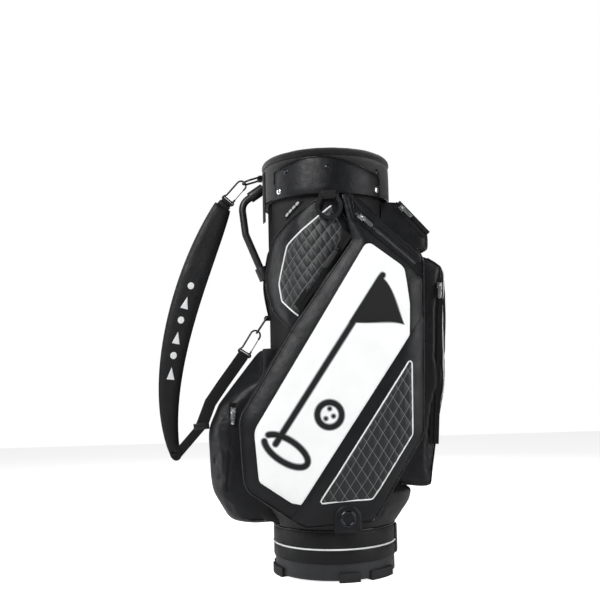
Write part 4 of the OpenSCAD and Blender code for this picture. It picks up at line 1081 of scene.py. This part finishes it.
for name in ("right_zip", "left_zip", "right_leaf", "left_leaf", "ball_zip", "front_zip", "spine_zip"):
    leafy = "leaf" in name
    softened(f"{name}_slider_body", [f"{name}_slider"], BLACK_METAL if leafy else NICKEL,
             f"{name}_slider", 0.4)
    softened(f"{name}_puller_tab", [f"{name}_puller"], PULL_RUBBER if leafy else NICKEL,
             f"{name}_puller", 0.5)

# ------------------------------------------------------------------ fittings

HANDLE_LINE = [(-138, 816, 0), (-186, 782, 30), (-178, 714, 30), (-137, 614, 0)]
tube("handle_grip", [Vector((a * MM, 0, b * MM)) for a, b in spaced(rounded_line(HANDLE_LINE, 10), 4)],
     8 * MM, HANDLE_COAT, stands_for=("handle_tube",), sides=20)
softened("handle_feet", ["handle_brackets"], HANDLE_COAT, "bag", 2.5, 3)
softened("dring_loops", ["dring_keepers"], WEBBING, "bag", 0.8)
softened("towel_ring_loop", ["ring_keeper"], WEBBING, "bag", 1.0)
softened("glove_strip", ["glove_tab"], WEBBING, "bag", 0.5)
softened("woven_tag", ["label_tag"], ZIP_TAPE, "bag", 0.5)
tag_surface = drum(TRUNK_R + 2.2 * MM)
TAG_MIDDLE, TAG_TILT = (arc(TRUNK_R, -40), 750), 37.0
for index, place in enumerate((-20, -9, 2, 13)):
    bar = stroke(tilted([(place - 2.2, 0), (place + 2.2, 0)], TAG_MIDDLE, TAG_TILT), 5.5, 2)
    laid(f"tag_block_{index}", bar, tag_surface, SILVER_TAG, lift=0.2, thick=0.5, cell=2)

EYELET_LOW, EYELET_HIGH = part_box("eyelet_tab")
GROMMET_LOW, GROMMET_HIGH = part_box("eyelet_grommet")
EYELET_X = (GROMMET_LOW.x + GROMMET_HIGH.x) / 2
EYELET_Z = (GROMMET_LOW.z + GROMMET_HIGH.z) / 2
arch_r = (EYELET_HIGH.x - EYELET_LOW.x) / 2 / MM
x0, z0, low_z = EYELET_X / MM, EYELET_Z / MM, EYELET_LOW.z / MM


def arch(r, foot):
    """A half circle about the eyelet, on two straight legs down to a height."""
    bow = [(x0 + r * math.cos(math.radians(a)), z0 + r * math.sin(math.radians(a)))
           for a in range(0, 181, 10)]
    return [(x0 + r, foot)] + bow + [(x0 - r, foot)]


laid("eyelet_leather_tab", arch(arch_r, low_z), seam_wall, BLACK_LEATHER, lift=3.0, thick=3.0, cell=4,
     stands_for=("eyelet_tab",), relief=lambda flat, depth: swell(depth, 6, 1.0))
for row, inside in enumerate((4.5, 8.5)):
    stitched(f"eyelet_tab_stitches_{row}", seam_wall, arch(arch_r - inside, low_z + 2), height=7.0,
             pitch=4)


def in_metres(profile):
    return [(r * MM, z * MM) for r, z in profile]


OUT_Y = Matrix.Rotation(math.radians(90), 4, "X")
EYELET_PROFILE = [(9.5, -8), (11.5, -8), (11.5, 6), (16.0, 6), (16.4, 7.0), (15.0, 8.6), (12.8, 9.2),
                  (10.6, 8.4), (9.5, 6.6)]
spun("eyelet_ring", in_metres(EYELET_PROFILE), BLACK_METAL, stands_for=("eyelet_grommet",), steps=48,
     place=Matrix.Translation((EYELET_X, -SEAM_Y, EYELET_Z)) @ OUT_Y, smooth=50)


def on_cuff(angle, z, out):
    """A matrix on the cuff whose Z looks outwards."""
    turn = Matrix.Rotation(math.radians(angle), 4, "Z")
    return turn @ Matrix.Translation((0, -(CUFF_R + out * MM), z)) @ OUT_Y


def studs(name, node, angles, height, profile, material, out, steps, smooth):
    """The same small turned piece at several angles round the cuff; the first stands for the node."""
    for index, angle in enumerate(angles):
        spun(f"{name}_{index}", in_metres(profile), material, stands_for=(node,) if index == 0 else (),
             steps=steps, place=on_cuff(angle, CUFF_Z + height * MM, out), smooth=smooth)


studs("cuff_rivet", "cuff_rivets", (-52, 41, 128, 232), 14,
      [(0, 0), (7.2, 0), (7.4, 0.8), (6.4, 2.2), (4, 3.4), (0, 3.9)], CHROME, 0.2, 32, 60)
studs("snap_stud", "snap_studs", (-43, -6, 43, 137, 186, 223), 52,
      [(0, 0), (6, 0), (6.2, 0.8), (5, 1.6), (3.2, 1.6), (3.4, 3), (2.6, 3.8), (0, 3.8)],
      BLACK_METAL, 0.3, 28, 50)

# ------------------------------------------------------------------ strap

PAD_LEFT = bezier([(-242.2, 784.1), (-335, 640), (-400, 400), (-343, 250)], 30)
PAD_RIGHT = bezier([(-212.2, 766.1), (-243, 650), (-345, 440), (-325, 260)], 30)
pad_ring = PAD_LEFT + PAD_RIGHT[::-1]
PAD_CORE, PAD_SKIN = 4.0, 0.8


def strap_crown(flat):
    return swell(depth_inside(pad_ring, flat), 13, 3.4) + rumple(flat, 0.4, 50)


pad_face = {"near": wall(RIGHT, PAD_CORE * MM, strap_crown)}
pad_face["far"] = mirrored(pad_face["near"])
for label, surface in pad_face.items():
    laid(f"strap_{label}_padding", pad_ring, surface, SOFT_LEATHER, lift=-PAD_SKIN, thick=PAD_SKIN,
         cell=5, body="strap", sunk=PAD_CORE - PAD_SKIN,
         stands_for=("strap_pad",) if label == "near" else ())
    stitched(f"strap_{label}_stitches", surface, inset_line(pad_ring, 8), closed=True, height=0.1,
             body="strap")
tube("strap_edge_piping", [Vector((x * MM, 0, z * MM)) for x, z in spaced(pad_ring, 6, True)], 2.0 * MM,
     PATENT_PIPING, closed=True, body="strap")
STRAP_LINE = [(a[0] / 2 + b[0] / 2, a[1] / 2 + b[1] / 2) for a, b in zip(PAD_LEFT, PAD_RIGHT)]
for index, step in enumerate((11, 13, 15, 17, 19, 21)):
    (x, z), (x1, z1) = STRAP_LINE[step], STRAP_LINE[step + 1]
    turn = math.degrees(math.atan2(z - z1, x - x1))
    shape = [(-13, -9), (13, 0), (-13, 9)] if index % 2 else circle_line((0, 0), 7.5, sweep=345, count=23)
    shape = tilted([(p, q * 0.9) for p, q in shape], (x, z), turn)
    for label, surface in pad_face.items():
        laid(f"strap_{label}_mark_{index}", shape, surface, WHITE_EMBROIDERY, lift=0.2, thick=1.0,
             cell=3, body="strap")
softened("strap_caps", ["strap_ends"], BLACK_LEATHER, "strap", 1.2)
softened("upper_strap_web", ["upper_webbing"], WEBBING, "strap", 0.5)
softened("lower_strap_web", ["lower_webbing"], WEBBING, "strap", 0.5)
softened("strap_buckle", ["strap_adjuster"], BLACK_PLASTIC, "strap", 0.8)

# ------------------------------------------------------------------ CAD nodes that stay, with their finishes


def coated(node, material):
    slots = frame["nodes"][node].data.materials
    for i in range(len(slots)):
        slots[i] = material


for node, material in {
    "base_cup": CHARCOAL, "base_feet": FOOT_RUBBER, "collar_piping": WHITE_PIPING, "trunk_shell": TRUNK_CLOTH,
    "trunk_stays": ROD_METAL, "top_ring": CHARCOAL, "divider_sheets": DIVIDER_CLOTH,
    "towel_ring": GREY_PLASTIC, "upper_dring": BLACK_METAL, "lower_dring": BLACK_METAL,
}.items():
    coated(node, material)


def refined(name, node, material, body):
    """The CAD shape with its facets shaded as the round wire that they stand for."""
    made(name, copied(node), material, body, (node,), smooth=50, recalc=False)


for end in ("upper", "lower"):
    refined(f"{end}_snap_hook", f"{end}_hook", BLACK_METAL, "strap")
    refined(f"{end}_snap_gate", f"{end}_hook_gate", NICKEL, f"{end}_hook_gate")

# ------------------------------------------------------------------ floor, sky and lamps


def white_for_camera(tree, socket, seen, given):
    """A strength that differs between what the camera sees and what lights the bag."""
    path = add(tree, "ShaderNodeLightPath")
    pick = add(tree, "ShaderNodeMapRange", ("Value", path, "Is Camera Ray"), To_Min=given, To_Max=seen)
    tree.links.new(pick.outputs["Result"], socket)


pale = bpy.data.worlds.new("studio")
scene.world = pale
pale.use_nodes = True
sky = pale.node_tree.nodes["Background"]
sky.inputs["Color"].default_value = (1, 1, 1, 1)
white_for_camera(pale.node_tree, sky.inputs["Strength"], 1.0, 0.11)

FLOOR_HALF = 4
bm = bmesh.new()
bmesh.ops.create_grid(bm, x_segments=1, y_segments=1, size=FLOOR_HALF)
floor_mesh = bpy.data.meshes.new("floor")
bm.to_mesh(floor_mesh)
bm.free()
floor = bpy.data.objects.new("floor", floor_mesh)
scene.collection.objects.link(floor)
# Matt white paper sweep, lit from behind so that it reads as white.
floor_material, floor_tree, floor_main = finish("studio_floor", "#f4f4f4", Roughness=0.95,
                                                Specular_IOR_Level=0.1)
floor_main.inputs["Emission Color"].default_value = (1, 1, 1, 1)
white_for_camera(floor_tree, floor_main.inputs["Emission Strength"], 0.75, 0.0)
floor_mesh.materials.append(floor_material)


def softbox(name, place, target, size, watts):
    lamp = bpy.data.lights.new(name, "AREA")
    lamp.shape, lamp.size, lamp.size_y, lamp.energy = "RECTANGLE", size[0], size[1], watts
    holder = bpy.data.objects.new(name, lamp)
    holder.location = place
    way = Vector(target) - Vector(place)
    holder.rotation_euler = way.to_track_quat("-Z", "Y").to_euler()
    scene.collection.objects.link(holder)


softbox("key_light", (-1.3, -1.7, 1.9), (0, 0, 0.45), (0.9, 1.3), 50)
softbox("fill_light", (1.7, -1.1, 0.9), (0, 0, 0.4), (0.7, 1.6), 19)
softbox("back_light", (0.4, 1.6, 1.6), (0, 0, 0.5), (1.4, 1.4), 18)
softbox("side_light", (-1.8, 0.3, 0.8), (0, 0, 0.45), (0.5, 1.6), 14)
